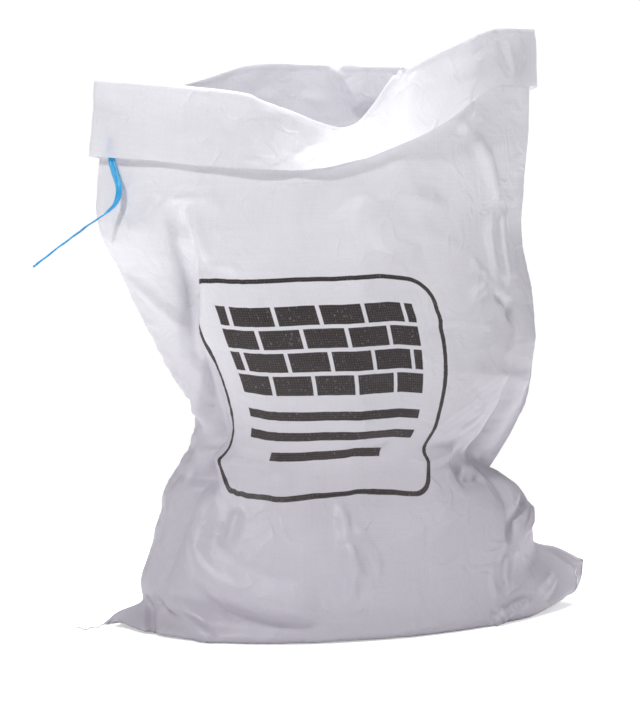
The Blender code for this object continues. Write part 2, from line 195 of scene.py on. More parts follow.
@dataclass(frozen=True)
class SackSizes:
    """The sack's driving dimensions, which repeat those of the CAD model.

    Attributes:
        sections: the tube's sections, from the floor up.
        hem: the line where the tube is sewn flat, under the base.
        cuff_front, cuff_back: the body where the lower edge of the cuff lies on it.
        rim_front, rim_back: the rim of the mouth.
        settled: how much of the lowest section the weight presses flat on the floor.
        contact_band: the base lies flat from this share of the way between its hem and its edge.
        cuff_gap, cuff_flare: free space under the cuff, and how much wider it is at its lower edge.
        flat_width, flat_length: the sack laid flat, before its cuff is turned down.
        to_frame: the way from the frame of these measures to that of the CAD model.
    """

    sections: tuple[Section, ...] = (
        Section((-0.256, 0.0200), (0.266, 0.0540), (-0.145, 0.000), (0.124, 0.000), 1.40, 0.84),
        Section((-0.230, 0.0250), (0.243, 0.0620), (-0.149, 0.020), (0.132, 0.019), 1.30, 0.86),
        Section((-0.230, 0.0420), (0.216, 0.0690), (-0.151, 0.052), (0.137, 0.052), 1.15, 0.88),
        Section((-0.219, 0.0720), (0.207, 0.0850), (-0.145, 0.089), (0.133, 0.089), 1.00, 0.92),
        Section((-0.209, 0.1050), (0.205, 0.1040), (-0.133, 0.123), (0.122, 0.124), 1.00, 0.96),
        Section((-0.202, 0.1350), (0.192, 0.1240), (-0.120, 0.149), (0.110, 0.151), 1.00),
        Section((-0.188, 0.1620), (0.168, 0.1340), (-0.113, 0.170), (0.102, 0.175), 1.00),
        Section((-0.175, 0.1920), (0.143, 0.1360), (-0.113, 0.192), (0.102, 0.198), 1.00),
        Section((-0.173, 0.2270), (0.161, 0.1530), (-0.116, 0.221), (0.105, 0.226), 1.00),
        Section((-0.195, 0.2620), (0.196, 0.2100), (-0.119, 0.265), (0.107, 0.268), 1.05),
        Section((-0.225, 0.3180), (0.210, 0.2620), (-0.118, 0.317), (0.107, 0.318), 1.10),
        Section((-0.249, 0.3740), (0.208, 0.3300), (-0.113, 0.370), (0.103, 0.373), 1.20),
        Section((-0.275, 0.4270), (0.198, 0.4120), (-0.105, 0.420), (0.097, 0.426), 1.30),
        Section((-0.277, 0.4620), (0.201, 0.4750), (-0.098, 0.452), (0.093, 0.464), 1.40),
    )
    hem: tuple[Point, ...] = (
        (-0.276, -0.006, 0.0030),
        (-0.215, 0.004, 0.0045),
        (-0.120, 0.024, 0.0050),
        (-0.010, 0.038, 0.0050),
        (0.060, 0.024, 0.0050),
        (0.122, -0.010, 0.0045),
        (0.176, -0.026, 0.0045),
        (0.216, -0.017, 0.0060),
        (0.258, -0.006, 0.0085),
        (0.271, -0.002, 0.0240),
        (0.275, 0.001, 0.0460),
    )
    cuff_front: tuple[Point, ...] = (
        (-0.274, 0.000, 0.498),
        (-0.222, -0.048, 0.494),
        (-0.165, -0.073, 0.488),
        (-0.075, -0.089, 0.484),
        (-0.020, -0.090, 0.495),
        (0.036, -0.088, 0.515),
        (0.075, -0.080, 0.534),
        (0.108, -0.067, 0.555),
        (0.136, -0.050, 0.570),
        (0.165, -0.032, 0.576),
        (0.207, 0.000, 0.574),
    )
    cuff_back: tuple[Point, ...] = (
        (-0.274, 0.000, 0.498),
        (-0.212, 0.053, 0.489),
        (-0.120, 0.082, 0.497),
        (-0.010, 0.091, 0.514),
        (0.090, 0.084, 0.519),
        (0.155, 0.050, 0.539),
        (0.207, 0.000, 0.574),
    )
    rim_front: tuple[Point, ...] = (
        (-0.273, 0.000, 0.579),
        (-0.205, -0.050, 0.572),
        (-0.138, -0.070, 0.564),
        (-0.116, -0.072, 0.556),
        (-0.075, -0.064, 0.542),
        (-0.042, -0.052, 0.531),
        (-0.020, -0.045, 0.528),
        (-0.003, -0.041, 0.534),
        (0.012, -0.045, 0.552),
        (0.032, -0.055, 0.584),
        (0.052, -0.061, 0.596),
        (0.100, -0.057, 0.618),
        (0.132, -0.044, 0.631),
        (0.158, -0.029, 0.637),
        (0.207, 0.000, 0.638),
    )
    rim_back: tuple[Point, ...] = (
        (-0.273, 0.000, 0.579),
        (-0.238, 0.033, 0.566),
        (-0.182, 0.060, 0.574),
        (-0.137, 0.074, 0.586),
        (-0.088, 0.083, 0.600),
        (-0.013, 0.088, 0.601),
        (0.060, 0.083, 0.599),
        (0.112, 0.070, 0.601),
        (0.168, 0.037, 0.618),
        (0.207, 0.000, 0.638),
    )
    settled: float = 0.004
    contact_band: float = 0.35
    cuff_gap: float = 0.0058
    cuff_flare: float = 0.003
    flat_width: float = 0.56
    flat_length: float = 0.85
    hems: float = 0.04
    to_frame: Point = (0.0146, 0.0081, 0.0)


@dataclass(frozen=True)
class Resolution:
    """How fine the cloth's grid is: columns on the front, rows up the body, and rows up the cuff."""

    half: int
    body: int
    top: int

    @property
    def columns(self) -> int:
        """The number of columns once round the tube."""
        return 2 * self.half

    def v(self) -> np.ndarray:
        """The v of each row."""
        top = np.linspace(0, 1, self.top + 1)[1:]
        return np.concatenate([np.linspace(0, 1, self.body + 1), 1 + top, 2 + top])


@dataclass
class SackForm:
    """The overall form of the sack, as a loft over the grid of u and v.

    Attributes:
        sizes: the driving dimensions.
        tucks: the lengthwise folds.
    """

    sizes: SackSizes
    tucks: tuple[Tuck, ...]

    def halves(self, section: Section, count: int) -> tuple[np.ndarray, np.ndarray]:
        """The front and the back of a section, both from left to right."""
        return (
            section.half(section.front, section.lean, count),
            section.half(section.back, 1.0, count),
        )

    def stations(self, count: int) -> tuple[np.ndarray, np.ndarray]:
        """The fronts and the backs of all the body's sections, from the hem to the cuff's edge."""
        sizes = self.sizes
        hem = smooth_through(sizes.hem, count)
        fronts, backs = [hem], [hem]
        for section in sizes.sections:
            front, back = self.halves(section, count)
            if len(fronts) == 1:
                for found, edge in ((fronts, front), (backs, back)):
                    edge[:, 2] = np.maximum(edge[:, 2] - sizes.settled, 0.0)
                    inner = hem + (edge - hem) * sizes.contact_band
                    inner[:, 2] = np.where(edge[:, 2] <= 0, 0.0, inner[:, 2])
                    found.append(inner)
            fronts.append(front)
            backs.append(back)
        fronts.append(smooth_through(sizes.cuff_front, count))
        backs.append(smooth_through(sizes.cuff_back, count))
        return np.asarray(fronts), np.asarray(backs)

    def spread(self, strip: np.ndarray, v: np.ndarray, half: int, first: float) -> np.ndarray:
        """One face of the sack with its tucks, from evenly spaced rows of an outline.

        Along a row, the cloth's own length runs ahead of the outline's where a tuck takes it up, and the
        rest goes inwards: with a share c of the cloth gone, the outline gets 1 - c of it and the depth
        changes by the square root of 1 - (1 - c) squared.

        Args:
            strip: rows of dense outline points.
            v: the v of each row.
            half: columns of the grid on this face.
            first: the u of the first column, and the face runs on in the direction of the outline.

        Returns:
            Grid points, with one row for each v and half + 1 columns.
        """
        width = self.sizes.flat_width
        fine = 8 * half
        u = first + np.linspace(0, width, fine + 1)
        gone = np.zeros((len(v), fine + 1))
        slope = np.zeros_like(gone)
        for tuck in self.tucks:
            centre, wide, closing = (a[:, None] for a in tuck.along(v))
            away = (u[None] - centre) / wide
            share = np.where(np.abs(away) < 0.5, closing * (0.5 + 0.5 * np.cos(2 * np.pi * away)), 0.0)
            gone += share
            slope += -tuck.outward * np.sign(away) * np.sqrt(np.clip(1 - (1 - share) ** 2, 0, 1))
        step = width / fine
        along = np.concatenate(
            [np.zeros((len(v), 1)), np.cumsum(1 - (gone[:, 1:] + gone[:, :-1]) / 2, axis=1)], axis=1
        )
        along /= along[:, -1:]
        depth = np.concatenate(
            [np.zeros((len(v), 1)), np.cumsum((slope[:, 1:] + slope[:, :-1]) / 2, axis=1) * step], axis=1
        )
        dense = strip.shape[1] - 1
        out = np.empty((len(v), half + 1, 3))
        for row in range(len(v)):
            at = along[row, ::8] * dense
            for axis in range(3):
                out[row, :, axis] = np.interp(at, np.arange(dense + 1), strip[row, :, axis])
        tangent = np.gradient(out, axis=1)
        flat = np.hypot(tangent[..., 0], tangent[..., 1]) + 1e-9
        out[..., 0] += tangent[..., 1] / flat * depth[:, ::8]
        out[..., 1] -= tangent[..., 0] / flat * depth[:, ::8]
        return out

    def body(self, grid: Resolution) -> np.ndarray:
        """The body, from the hem to the lower edge of the cuff."""
        fronts, backs = self.stations(240)
        fine = np.linspace(0, len(fronts) - 1, 260)
        v = np.linspace(0, 1, grid.body + 1)
        faces = []
        for stack, first in ((fronts, 0.0), (backs, self.sizes.flat_width)):
            rows = catmull_rom(stack, fine)
            rows[..., 2] = np.maximum(rows[..., 2], 0.0)
            columns = [evenly(rows[:, c], grid.body + 1) for c in range(rows.shape[1])]
            strip = np.stack(columns, axis=1)
            if first:
                strip = strip[:, ::-1]
            faces.append(self.spread(strip, v, grid.half, first))
        return np.concatenate([faces[0], faces[1][:, 1:-1]], axis=1)

    def grown(self, ring: np.ndarray, by: np.ndarray, half: int) -> np.ndarray:
        """Rings moved out by a distance at their corners and at their front and back."""
        left, right = ring[:, 0], ring[:, half]
        centre = (left[:, 0] + right[:, 0])[:, None] / 2
        half_width = (right[:, 0] - left[:, 0])[:, None] / 2
        half_depth = np.abs(ring[..., 1]).max(axis=1, keepdims=True)
        moved = ring.copy()
        moved[..., 0] = centre + (ring[..., 0] - centre) * (1 + by[:, None] / half_width)
        moved[..., 1] = ring[..., 1] * (1 + by[:, None] / half_depth)
        return moved

    def surface(self, grid: Resolution) -> np.ndarray:
        """The whole cloth, as grid points with v along the first axis and u along the second."""
        sizes = self.sizes
        body = self.body(grid)
        edge = body[-1]
        front = smooth_through(sizes.rim_front, grid.half + 1)
        back = smooth_through(sizes.rim_back, grid.half + 1)
        rim = np.vstack([front, back[-2:0:-1]])
        share = np.linspace(0, 1, grid.top + 1)
        inner = edge + (rim - edge) * share[:, None, None]
        below = 1 - share
        gap = 0.0012 + (sizes.cuff_gap - 0.0012) * (1 - np.exp(-below / 0.09)) + sizes.cuff_flare * below
        outer = self.grown(inner, gap, grid.half)
        return np.concatenate([body, inner[1:], outer[-2::-1]])


@dataclass(frozen=True)
class PhotoView:
    """The camera, as a way from points to pixels of a picture of 640 by 716.

    Attributes:
        camera_at, looks_at: the camera's place and what it points at.
        lens: the focal length in millimetres, on a side of 36.
        picture: the picture's width and height in pixels.
    """

    camera_at: Point = (-0.7264, -2.4602, 0.5054)
    looks_at: Point = (-0.0187, 0.0081, 0.2808)
    lens: float = 120.0
    picture: tuple[int, int] = (640, 716)

    def pixels(self, points: np.ndarray) -> np.ndarray:
        """Where points show in the picture, from its top left, with the distance as a third value."""
        eye, to = np.asarray(self.camera_at), np.asarray(self.looks_at)
        ahead = (to - eye) / np.linalg.norm(to - eye)
        right = np.cross(ahead, [0, 0, 1])
        right /= np.linalg.norm(right)
        above = np.cross(right, ahead)
        way = points - eye
        far = way @ ahead
        focal = self.lens / 36.0 * max(self.picture)
        x = self.picture[0] / 2 + focal * (way @ right) / far
        y = self.picture[1] / 2 - focal * (way @ above) / far
        return np.stack([x, y, far], axis=-1)


class Side(Enum):
    """The part of the cloth that a fold is on.

    The paths of the first three are given as pixels of the picture, and those of CLOTH as u and v.
    """

    FRONT = "front"
    CUFF = "cuff"
    INSIDE = "inside"
    CLOTH = "cloth"


class FoldKind(Enum):
    """How a pressed fold stands out of the cloth.

    RIDGE has a sharp crest that falls away on both sides, ROUND has a soft one, and LAP drops at once on
    the left of its path and slowly on the right.
    """

    RIDGE = "ridge"
    ROUND = "round"
    LAP = "lap"


@dataclass(frozen=True)
class Fold:
    """A line of the cloth that is pressed out or in.

    Attributes:
        side: the part of the cloth that it is on.
        path: its points, as pixels, or as u in metres and v.
        height: how far it stands out, in metres, and below 0 how far it lies in.
        width: how far from the line it reaches on each side, in metres.
        kind: its section.
        taper: the share of its length over which it fades in at each end.
    """

    side: Side
    path: tuple[Pair, ...]
    height: float
    width: float
    kind: FoldKind = FoldKind.RIDGE
    taper: float = 0.25

    def raised(self, u: np.ndarray, s: np.ndarray, points: np.ndarray) -> np.ndarray:
        """How far this fold raises each place of the cloth.

        Args:
            u: place round the tube, in metres.
            s: place up the cloth, in metres.
            points: its path in u and s.

        Returns:
            The height for each place, from the distance to the nearest piece of the path.
        """
        lengths = np.linalg.norm(np.diff(points, axis=0), axis=1)
        total, passed = lengths.sum(), 0.0
        best = np.full(u.shape, 1e9)
        side, along = np.zeros(u.shape), np.zeros(u.shape)
        for start, end, length in zip(points, points[1:], lengths):
            d = (end - start) / length
            x, y = u - start[0], s - start[1]
            t = np.clip(x * d[0] + y * d[1], 0, length)
            across = x * d[1] - y * d[0]
            distance = np.hypot(x - t * d[0], y - t * d[1])
            near = distance < best
            best = np.where(near, distance, best)
            side = np.where(near, np.sign(across), side)
            along = np.where(near, (passed + t) / total, along)
            passed += length
        if self.kind is FoldKind.RIDGE:
            shape = np.clip(1 - best / self.width, 0, 1) ** 1.3
        elif self.kind is FoldKind.ROUND:
            shape = np.clip(1 - (best / self.width) ** 2, 0, 1) ** 2
        else:
            reach = np.where(side > 0, self.width, self.width / 8)
            shape = np.clip(1 - best / reach, 0, 1) ** 1.2
        ends = np.minimum(smoothstep(0, self.taper, along), smoothstep(0, self.taper, 1 - along))
        return self.height * shape * ends


@dataclass
class ClothRelaxation:
    """Gives the strips of a closed grid of cloth their own lengths, near a goal form.

    Each round moves the two ends of every strip towards the length of that strip, along both ways of the
    weave and across its diagonals, resists sharp bends by holding points two apart away from each other,
    and pulls every point a little to its goal.

    Attributes:
        goal: the goal form, as (3, rows, columns).
        across: the length of each strip from a column to the next, as (rows, columns).
        up: the length of each strip from a row to the next, as (rows - 1, columns).
        hold: how much of the way to its goal each point goes in a round, as (rows, columns).
        bend: how much of a bend is taken out in a round.
        floor: the lowest z.
    """

    goal: np.ndarray
    across: np.ndarray
    up: np.ndarray
    hold: np.ndarray
    bend: float = 0.3
    floor: float = 0.0004
    rows_even: tuple[slice, ...] = field(default=(slice(0, None, 2), slice(1, None, 2)))

    def pull(self, x: np.ndarray, a: tuple, b: tuple, rest: np.ndarray, share: float, only: str = "") -> None:
        """Moves the points at a and b towards a distance of rest, by a share of what is missing.

        Args:
            x: the points.
            a, b: indices of the two ends of each strip.
            rest: the length of each strip.
            share: how much of the difference is taken out.
            only: "short" where only strips that are too short are changed.
        """
        first, second = x[(slice(None), *a)], x[(slice(None), *b)]
        way = second - first
        length = np.sqrt((way * way).sum(axis=0)) + 1e-9
        change = (length - rest) / length * (0.5 * share)
        if only == "short":
            change = np.minimum(change, 0.0)
        x[(slice(None), *a)] = first + way * change
        x[(slice(None), *b)] = second - way * change

    def run(self, x: np.ndarray, rounds: int) -> np.ndarray:
        """The points after some rounds, from x as (3, rows, columns)."""
        rows, columns = self.across.shape
        every = np.arange(rows)
        around = np.arange(columns)
        ahead, ahead2 = (around + 1) % columns, (around + 2) % columns
        rising = np.sqrt(((self.goal[:, 1:, ahead] - self.goal[:, :-1]) ** 2).sum(axis=0))
        falling = np.sqrt(((self.goal[:, 1:] - self.goal[:, :-1, ahead]) ** 2).sum(axis=0))
        flat2 = self.across + self.across[:, ahead]
        up2 = self.up[:-1] + self.up[1:]
        for _ in range(rounds):
            x += (self.goal - x) * self.hold
            for k in (0, 1):
                c = around[k::2]
                self.pull(x, np.ix_(every, c), np.ix_(every, ahead[c]), self.across[:, c], 0.9)
            for k in (0, 1):
                r = every[k : rows - 1 : 2]
                self.pull(x, np.ix_(r, around), np.ix_(r + 1, around), self.up[r], 0.9)
                self.pull(x, np.ix_(r, around), np.ix_(r + 1, ahead), rising[r], 0.15)
                self.pull(x, np.ix_(r, ahead), np.ix_(r + 1, around), falling[r], 0.15)
            for k in (0, 1):
                c = np.concatenate([around[2 * k :: 4], around[2 * k + 1 :: 4]])
                self.pull(x, np.ix_(every, c), np.ix_(every, ahead2[c]), flat2[:, c], self.bend, "short")
                r = np.concatenate([every[2 * k : rows - 2 : 4], every[2 * k + 1 : rows - 2 : 4]])
                self.pull(x, np.ix_(r, around), np.ix_(r + 2, around), up2[r], self.bend, "short")
            x[2] = np.maximum(x[2], self.floor)
        return x


def grid_normals(points: np.ndarray) -> np.ndarray:
    """The outward unit normals of a closed grid, given as (rows, columns, 3)."""
    across = np.roll(points, -1, axis=1) - np.roll(points, 1, axis=1)
    up = np.gradient(points, axis=0)
    normal = np.cross(across, up)
    return normal / (np.linalg.norm(normal, axis=2, keepdims=True) + 1e-12)


def finer(points: np.ndarray, rows: int, columns: int) -> np.ndarray:
    """A closed grid of (rows, columns, 3) read at more rows and columns, smoothly."""
    up = catmull_rom(points, np.linspace(0, len(points) - 1, rows))
    pad = np.concatenate([up[:, -2:], up, up[:, :3]], axis=1).swapaxes(0, 1)
    at = 2 + np.arange(columns) * (points.shape[1] / columns)
    return catmull_rom(pad, at).swapaxes(0, 1)


# Meshes


def mesh_object(name: str, vertices: np.ndarray, faces: np.ndarray, smooth: bool = True) -> bpy.types.Object:
    """A mesh object at the origin, from arrays of vertices and of quads.

    Args:
        name: the object's name.
        vertices: one point a row.
        faces: four vertex numbers a row.
        smooth: whether it is shaded smooth.

    Returns:
        The object, linked to the scene.
    """
    mesh = bpy.data.meshes.new(name)
    mesh.vertices.add(len(vertices))
    mesh.vertices.foreach_set("co", np.asarray(vertices, np.float32).ravel())
    mesh.loops.add(faces.size)
    mesh.loops.foreach_set("vertex_index", np.asarray(faces, np.int32).ravel())
    mesh.polygons.add(len(faces))
    mesh.polygons.foreach_set("loop_start", np.arange(0, faces.size, 4, dtype=np.int32))
    mesh.update(calc_edges=True)
    mesh.validate()
    if smooth:
        mesh.shade_smooth()
    made = bpy.data.objects.new(name, mesh)
    bpy.context.scene.collection.objects.link(made)
    return made


def put_uv(made: bpy.types.Object, name: str, corners: np.ndarray) -> None:
    """Gives a mesh a UV map, from one pair for each corner of each face."""
    layer = made.data.uv_layers.new(name=name)
    layer.data.foreach_set("uv", np.asarray(corners, np.float32).ravel())


def put_value(made: bpy.types.Object, name: str, values: np.ndarray) -> None:
    """Gives a mesh a number for each vertex."""
    layer = made.data.attributes.new(name, "FLOAT", "POINT")
    layer.data.foreach_set("value", np.asarray(values, np.float32).ravel())


# Shader nodes

Socket = bpy.types.NodeSocket
Value = "Socket | float"


class Graph:
    """Adds nodes to one node tree, in as few words as they need."""

    def __init__(self, tree: bpy.types.NodeTree) -> None:
        """Works on the given tree."""
        self.tree = tree

    def put(self, socket: Socket, value: object) -> None:
        """Links value to socket if it is a socket, or else sets it there."""
        if isinstance(value, bpy.types.NodeSocket):
            self.tree.links.new(value, socket)
        elif value is not None:
            socket.default_value = value

    def add(self, kind: str, inputs: dict | None = None, **settings: object) -> bpy.types.Node:
        """A node of that kind, with its inputs by name or number and its settings."""
        node = self.tree.nodes.new(kind)
        for name, value in settings.items():
            setattr(node, name, value)
        for name, value in (inputs or {}).items():
            self.put(node.inputs[name], value)
        return node

    def math(self, operation: str, *values: object) -> Socket:
        """The result of a Math node."""
        return self.add("ShaderNodeMath", dict(enumerate(values)), operation=operation).outputs[0]

    def blend(self, factor: object, low: object, high: object) -> Socket:
        """A colour between low and high."""
        node = self.add("ShaderNodeMix", {0: factor, 6: low, 7: high}, data_type="RGBA")
        return node.outputs[2]

    def between(self, factor: object, low: object, high: object) -> Socket:
        """A number between low and high."""
        return self.add("ShaderNodeMix", {0: factor, 2: low, 3: high}, data_type="FLOAT").outputs[0]

    def ramp(self, value: object, start: float, end: float, low: float = 0.0, high: float = 1.0) -> Socket:
        """low where value is below start, high above end, and a smooth change between."""
        node = self.add(
            "ShaderNodeMapRange",
            {0: value, 1: start, 2: end, 3: low, 4: high},
            interpolation_type="SMOOTHSTEP",
            clamp=True,
        )
        return node.outputs[0]

    def noise(self, place: Socket, scale: float, detail: float = 3.0, rough: float = 0.55) -> Socket:
        """The value of a Noise Texture, from 0 to 1."""
        node = self.add(
            "ShaderNodeTexNoise", {"Vector": place, "Scale": scale, "Detail": detail, "Roughness": rough}
        )
        return node.outputs[0]

    def moved(self, place: Socket, scale: Point, shift: Point = (0, 0, 0), turn: float = 0.0) -> Socket:
        """A place scaled, shifted and turned about Z."""
        node = self.add(
            "ShaderNodeMapping", {"Vector": place, "Location": shift, "Rotation": (0, 0, turn), "Scale": scale}
        )
        return node.outputs[0]


def new_group(name: str, inputs: dict[str, object], outputs: Sequence[str]) -> tuple[Graph, dict, dict]:
    """A shader node group with named inputs and outputs.

    Args:
        name: the group's name.
        inputs: the default of each input: a number, or None for a vector.
        outputs: names of the outputs, all of them numbers.

    Returns:
        The graph inside, its inputs by name, and a dictionary that takes each output's socket.
    """
    tree = bpy.data.node_groups.new(name, "ShaderNodeTree")
    for label, default in inputs.items():
        kind = "NodeSocketVector" if default is None else "NodeSocketFloat"
        socket = tree.interface.new_socket(label, in_out="INPUT", socket_type=kind)
        if default is not None:
            socket.default_value = default
    for label in outputs:
        tree.interface.new_socket(label, in_out="OUTPUT", socket_type="NodeSocketFloat")
    graph = Graph(tree)
    start = graph.add("NodeGroupInput")
    end = graph.add("NodeGroupOutput")
    return (
        graph,
        {label: start.outputs[label] for label in inputs},
        {label: end.inputs[label] for label in outputs},
    )


class Weave:
    """The node group of a plain weave of flat tapes.

    The cloth is cut into squares of one tape's width. In every other square the tape that runs up the cloth
    lies on top, and in the rest the one that runs round it. A tape is flat with rounded edges, and it is
    highest where it crosses over its neighbour.
    """

    def __init__(self) -> None:
        """Builds the group."""
        graph, given, wanted = new_group("tape_weave", {"Cloth": None, "Tape": 0.0026}, ("Height", "Gap", "Over"))
        self.group = graph.tree
        parts = graph.add("ShaderNodeSeparateXYZ", {0: given["Cloth"]})
        x, y = (graph.math("DIVIDE", parts.outputs[k], given["Tape"]) for k in (0, 1))
        cell = [graph.math("FLOOR", a) for a in (x, y)]
        parity = graph.math("FLOORED_MODULO", graph.math("ADD", *cell), 2.0)
        mid = [graph.math("SUBTRACT", graph.math("FRACT", a), 0.5) for a in (x, y)]
        wide = [graph.math("MULTIPLY", graph.math("ABSOLUTE", a), 2.0) for a in mid]
        flat = [graph.math("SUBTRACT", 1.0, graph.math("POWER", a, 5.0)) for a in wide]
        crown = [graph.math("COSINE", graph.math("MULTIPLY", a, math.pi)) for a in mid]
        rise = [graph.math("MULTIPLY_ADD", a, 0.45, 0.55) for a in crown]
        up = graph.math("MULTIPLY", flat[0], rise[1])
        round_ = graph.math("MULTIPLY", flat[1], rise[0])
        height = graph.between(parity, up, round_)
        graph.put(wanted["Height"], height)
        edge = graph.math("MAXIMUM", wide[0], wide[1])
        graph.put(wanted["Gap"], graph.ramp(edge, 0.80, 1.0))
        graph.put(wanted["Over"], parity)


class Grain:
    """The node group of a film's fine unevenness: soft mottling and sharp small crinkles.

    Crinkles are the lines where a noise passes its middle value, so they branch and close as the small
    creases of a thin film do.
    """

    def __init__(self) -> None:
        """Builds the group."""
        graph, given, wanted = new_group(
            "film_grain", {"Place": None, "Mottle": 30.0, "Crinkle": 60.0}, ("Mottling", "Crinkles")
        )
        self.group = graph.tree
        soft = graph.add("ShaderNodeTexNoise", {"Vector": given["Place"], "Scale": given["Mottle"], "Detail": 4.0})
        graph.put(wanted["Mottling"], soft.outputs[0])
        sharp = graph.add(
            "ShaderNodeTexNoise",
            {"Vector": given["Place"], "Scale": given["Crinkle"], "Detail": 2.0, "Distortion": 0.6},
        )
        off = graph.math("ABSOLUTE", graph.math("SUBTRACT", sharp.outputs[0], 0.5))
        graph.put(wanted["Crinkles"], graph.ramp(off, 0.0, 0.12, 1.0, 0.0))


@dataclass(frozen=True)
class Effects:
    """The node groups that several finishes share."""

    weave: bpy.types.NodeTree
    grain: bpy.types.NodeTree


def new_material(name: str) -> tuple[Graph, bpy.types.Node, bpy.types.Node]:
    """A material with an empty node tree but for a Principled BSDF and an output."""
    material = bpy.data.materials.new(name)
    material.use_nodes = True
    material.node_tree.nodes.clear()
    graph = Graph(material.node_tree)
    shader = graph.add("ShaderNodeBsdfPrincipled")
    output = graph.add("ShaderNodeOutputMaterial", {"Surface": shader.outputs[0]})
    return graph, shader, output


@dataclass(frozen=True)
class BrickPanel:
    """A plain printed panel: a round-cornered frame with courses of bricks over three ruled lines.

    Attributes:
        centre: its middle on the cloth, in metres of u and of height up the cloth.
        size: its width and height over the frame.
        corner: the radius of the frame's corners.
        line: the width of the frame's line.
        brick: the width and height of a brick with its joint.
        joint: the width of a joint.
        courses: how many rows of bricks.
        wall_width: the width of the wall of bricks.
        wall_top: how far below the top of the panel the wall begins.
        rules: how far below the middle each ruled line lies, and half its length.
    """

    centre: Pair = (0.222, 0.383)
    size: Pair = (0.262, 0.232)
    corner: float = 0.030
    line: float = 0.0050
    brick: Pair = (0.046, 0.0250)
    joint: float = 0.0042
    courses: int = 4
    wall_width: float = 0.207
    wall_top: float = 0.026
    rules: tuple[Pair, ...] = ((0.030, 0.1035), (0.052, 0.1035), (0.074, 0.070))
    rule_height: float = 0.0095

    def mask(self, graph: Graph, cloth: Socket) -> Socket:
        """1 where the panel has ink and 0 elsewhere, with edges a third of a millimetre soft."""
        soft = 0.00035
        parts = graph.add("ShaderNodeSeparateXYZ", {0: cloth})
        x = graph.math("SUBTRACT", parts.outputs[0], self.centre[0])
        y = graph.math("SUBTRACT", parts.outputs[1], self.centre[1])
        wide, high = self.size[0] / 2, self.size[1] / 2
        qx = graph.math("SUBTRACT", graph.math("ABSOLUTE", x), wide - self.corner)
        qy = graph.math("SUBTRACT", graph.math("ABSOLUTE", y), high - self.corner)
        ox, oy = (graph.math("MAXIMUM", q, 0.0) for q in (qx, qy))
        far = graph.math("SQRT", graph.math("ADD", graph.math("MULTIPLY", ox, ox), graph.math("MULTIPLY", oy, oy)))
        near = graph.math("MINIMUM", graph.math("MAXIMUM", qx, qy), 0.0)
        edge = graph.math("SUBTRACT", graph.math("ADD", far, near), self.corner)
        frame = graph.ramp(
            graph.math("ABSOLUTE", edge), self.line / 2 - soft, self.line / 2 + soft, 1.0, 0.0
        )
        down = graph.math("SUBTRACT", high - self.wall_top, y)
        course = graph.math("FLOOR", graph.math("DIVIDE", down, self.brick[1]))
        odd = graph.math("FLOORED_MODULO", course, 2.0)
        along = graph.math("MULTIPLY_ADD", odd, 0.5, graph.math("DIVIDE", x, self.brick[0]))
        bx = graph.math("MULTIPLY", graph.math("ABSOLUTE", graph.math("SUBTRACT", graph.math("FRACT", along), 0.5)), 2.0)
        by = graph.math(
            "MULTIPLY",
            graph.math("ABSOLUTE", graph.math("SUBTRACT", graph.math("FRACT", graph.math("DIVIDE", down, self.brick[1])), 0.5)),
            2.0,
        )
        edge_x, edge_y = 1 - self.joint / self.brick[0], 1 - self.joint / self.brick[1]
        in_x = graph.ramp(bx, edge_x - 2 * soft / self.brick[0], edge_x + 2 * soft / self.brick[0], 1.0, 0.0)
        in_y = graph.ramp(by, edge_y - 2 * soft / self.brick[1], edge_y + 2 * soft / self.brick[1], 1.0, 0.0)
        inside = graph.ramp(graph.math("ABSOLUTE", x), self.wall_width / 2 - soft, self.wall_width / 2 + soft, 1.0, 0.0)
        top = graph.math("GREATER_THAN", down, 0.0)
        bottom = graph.math("LESS_THAN", down, self.courses * self.brick[1])
        wall = graph.math("MULTIPLY", graph.math("MULTIPLY", in_x, in_y), graph.math("MULTIPLY", inside, graph.math("MULTIPLY", top, bottom)))
        ink = graph.math("MAXIMUM", frame, wall)
        for below, reach in self.rules:
            off = graph.math("ABSOLUTE", graph.math("ADD", y, below))
            across = graph.ramp(off, self.rule_height / 2 - soft, self.rule_height / 2 + soft, 1.0, 0.0)
            length = graph.ramp(graph.math("ABSOLUTE", x), reach - soft, reach + soft, 1.0, 0.0)
            ink = graph.math("MAXIMUM", ink, graph.math("MULTIPLY", across, length))
        return graph.math("MULTIPLY", ink, graph.math("LESS_THAN", parts.outputs[1], 0.66))


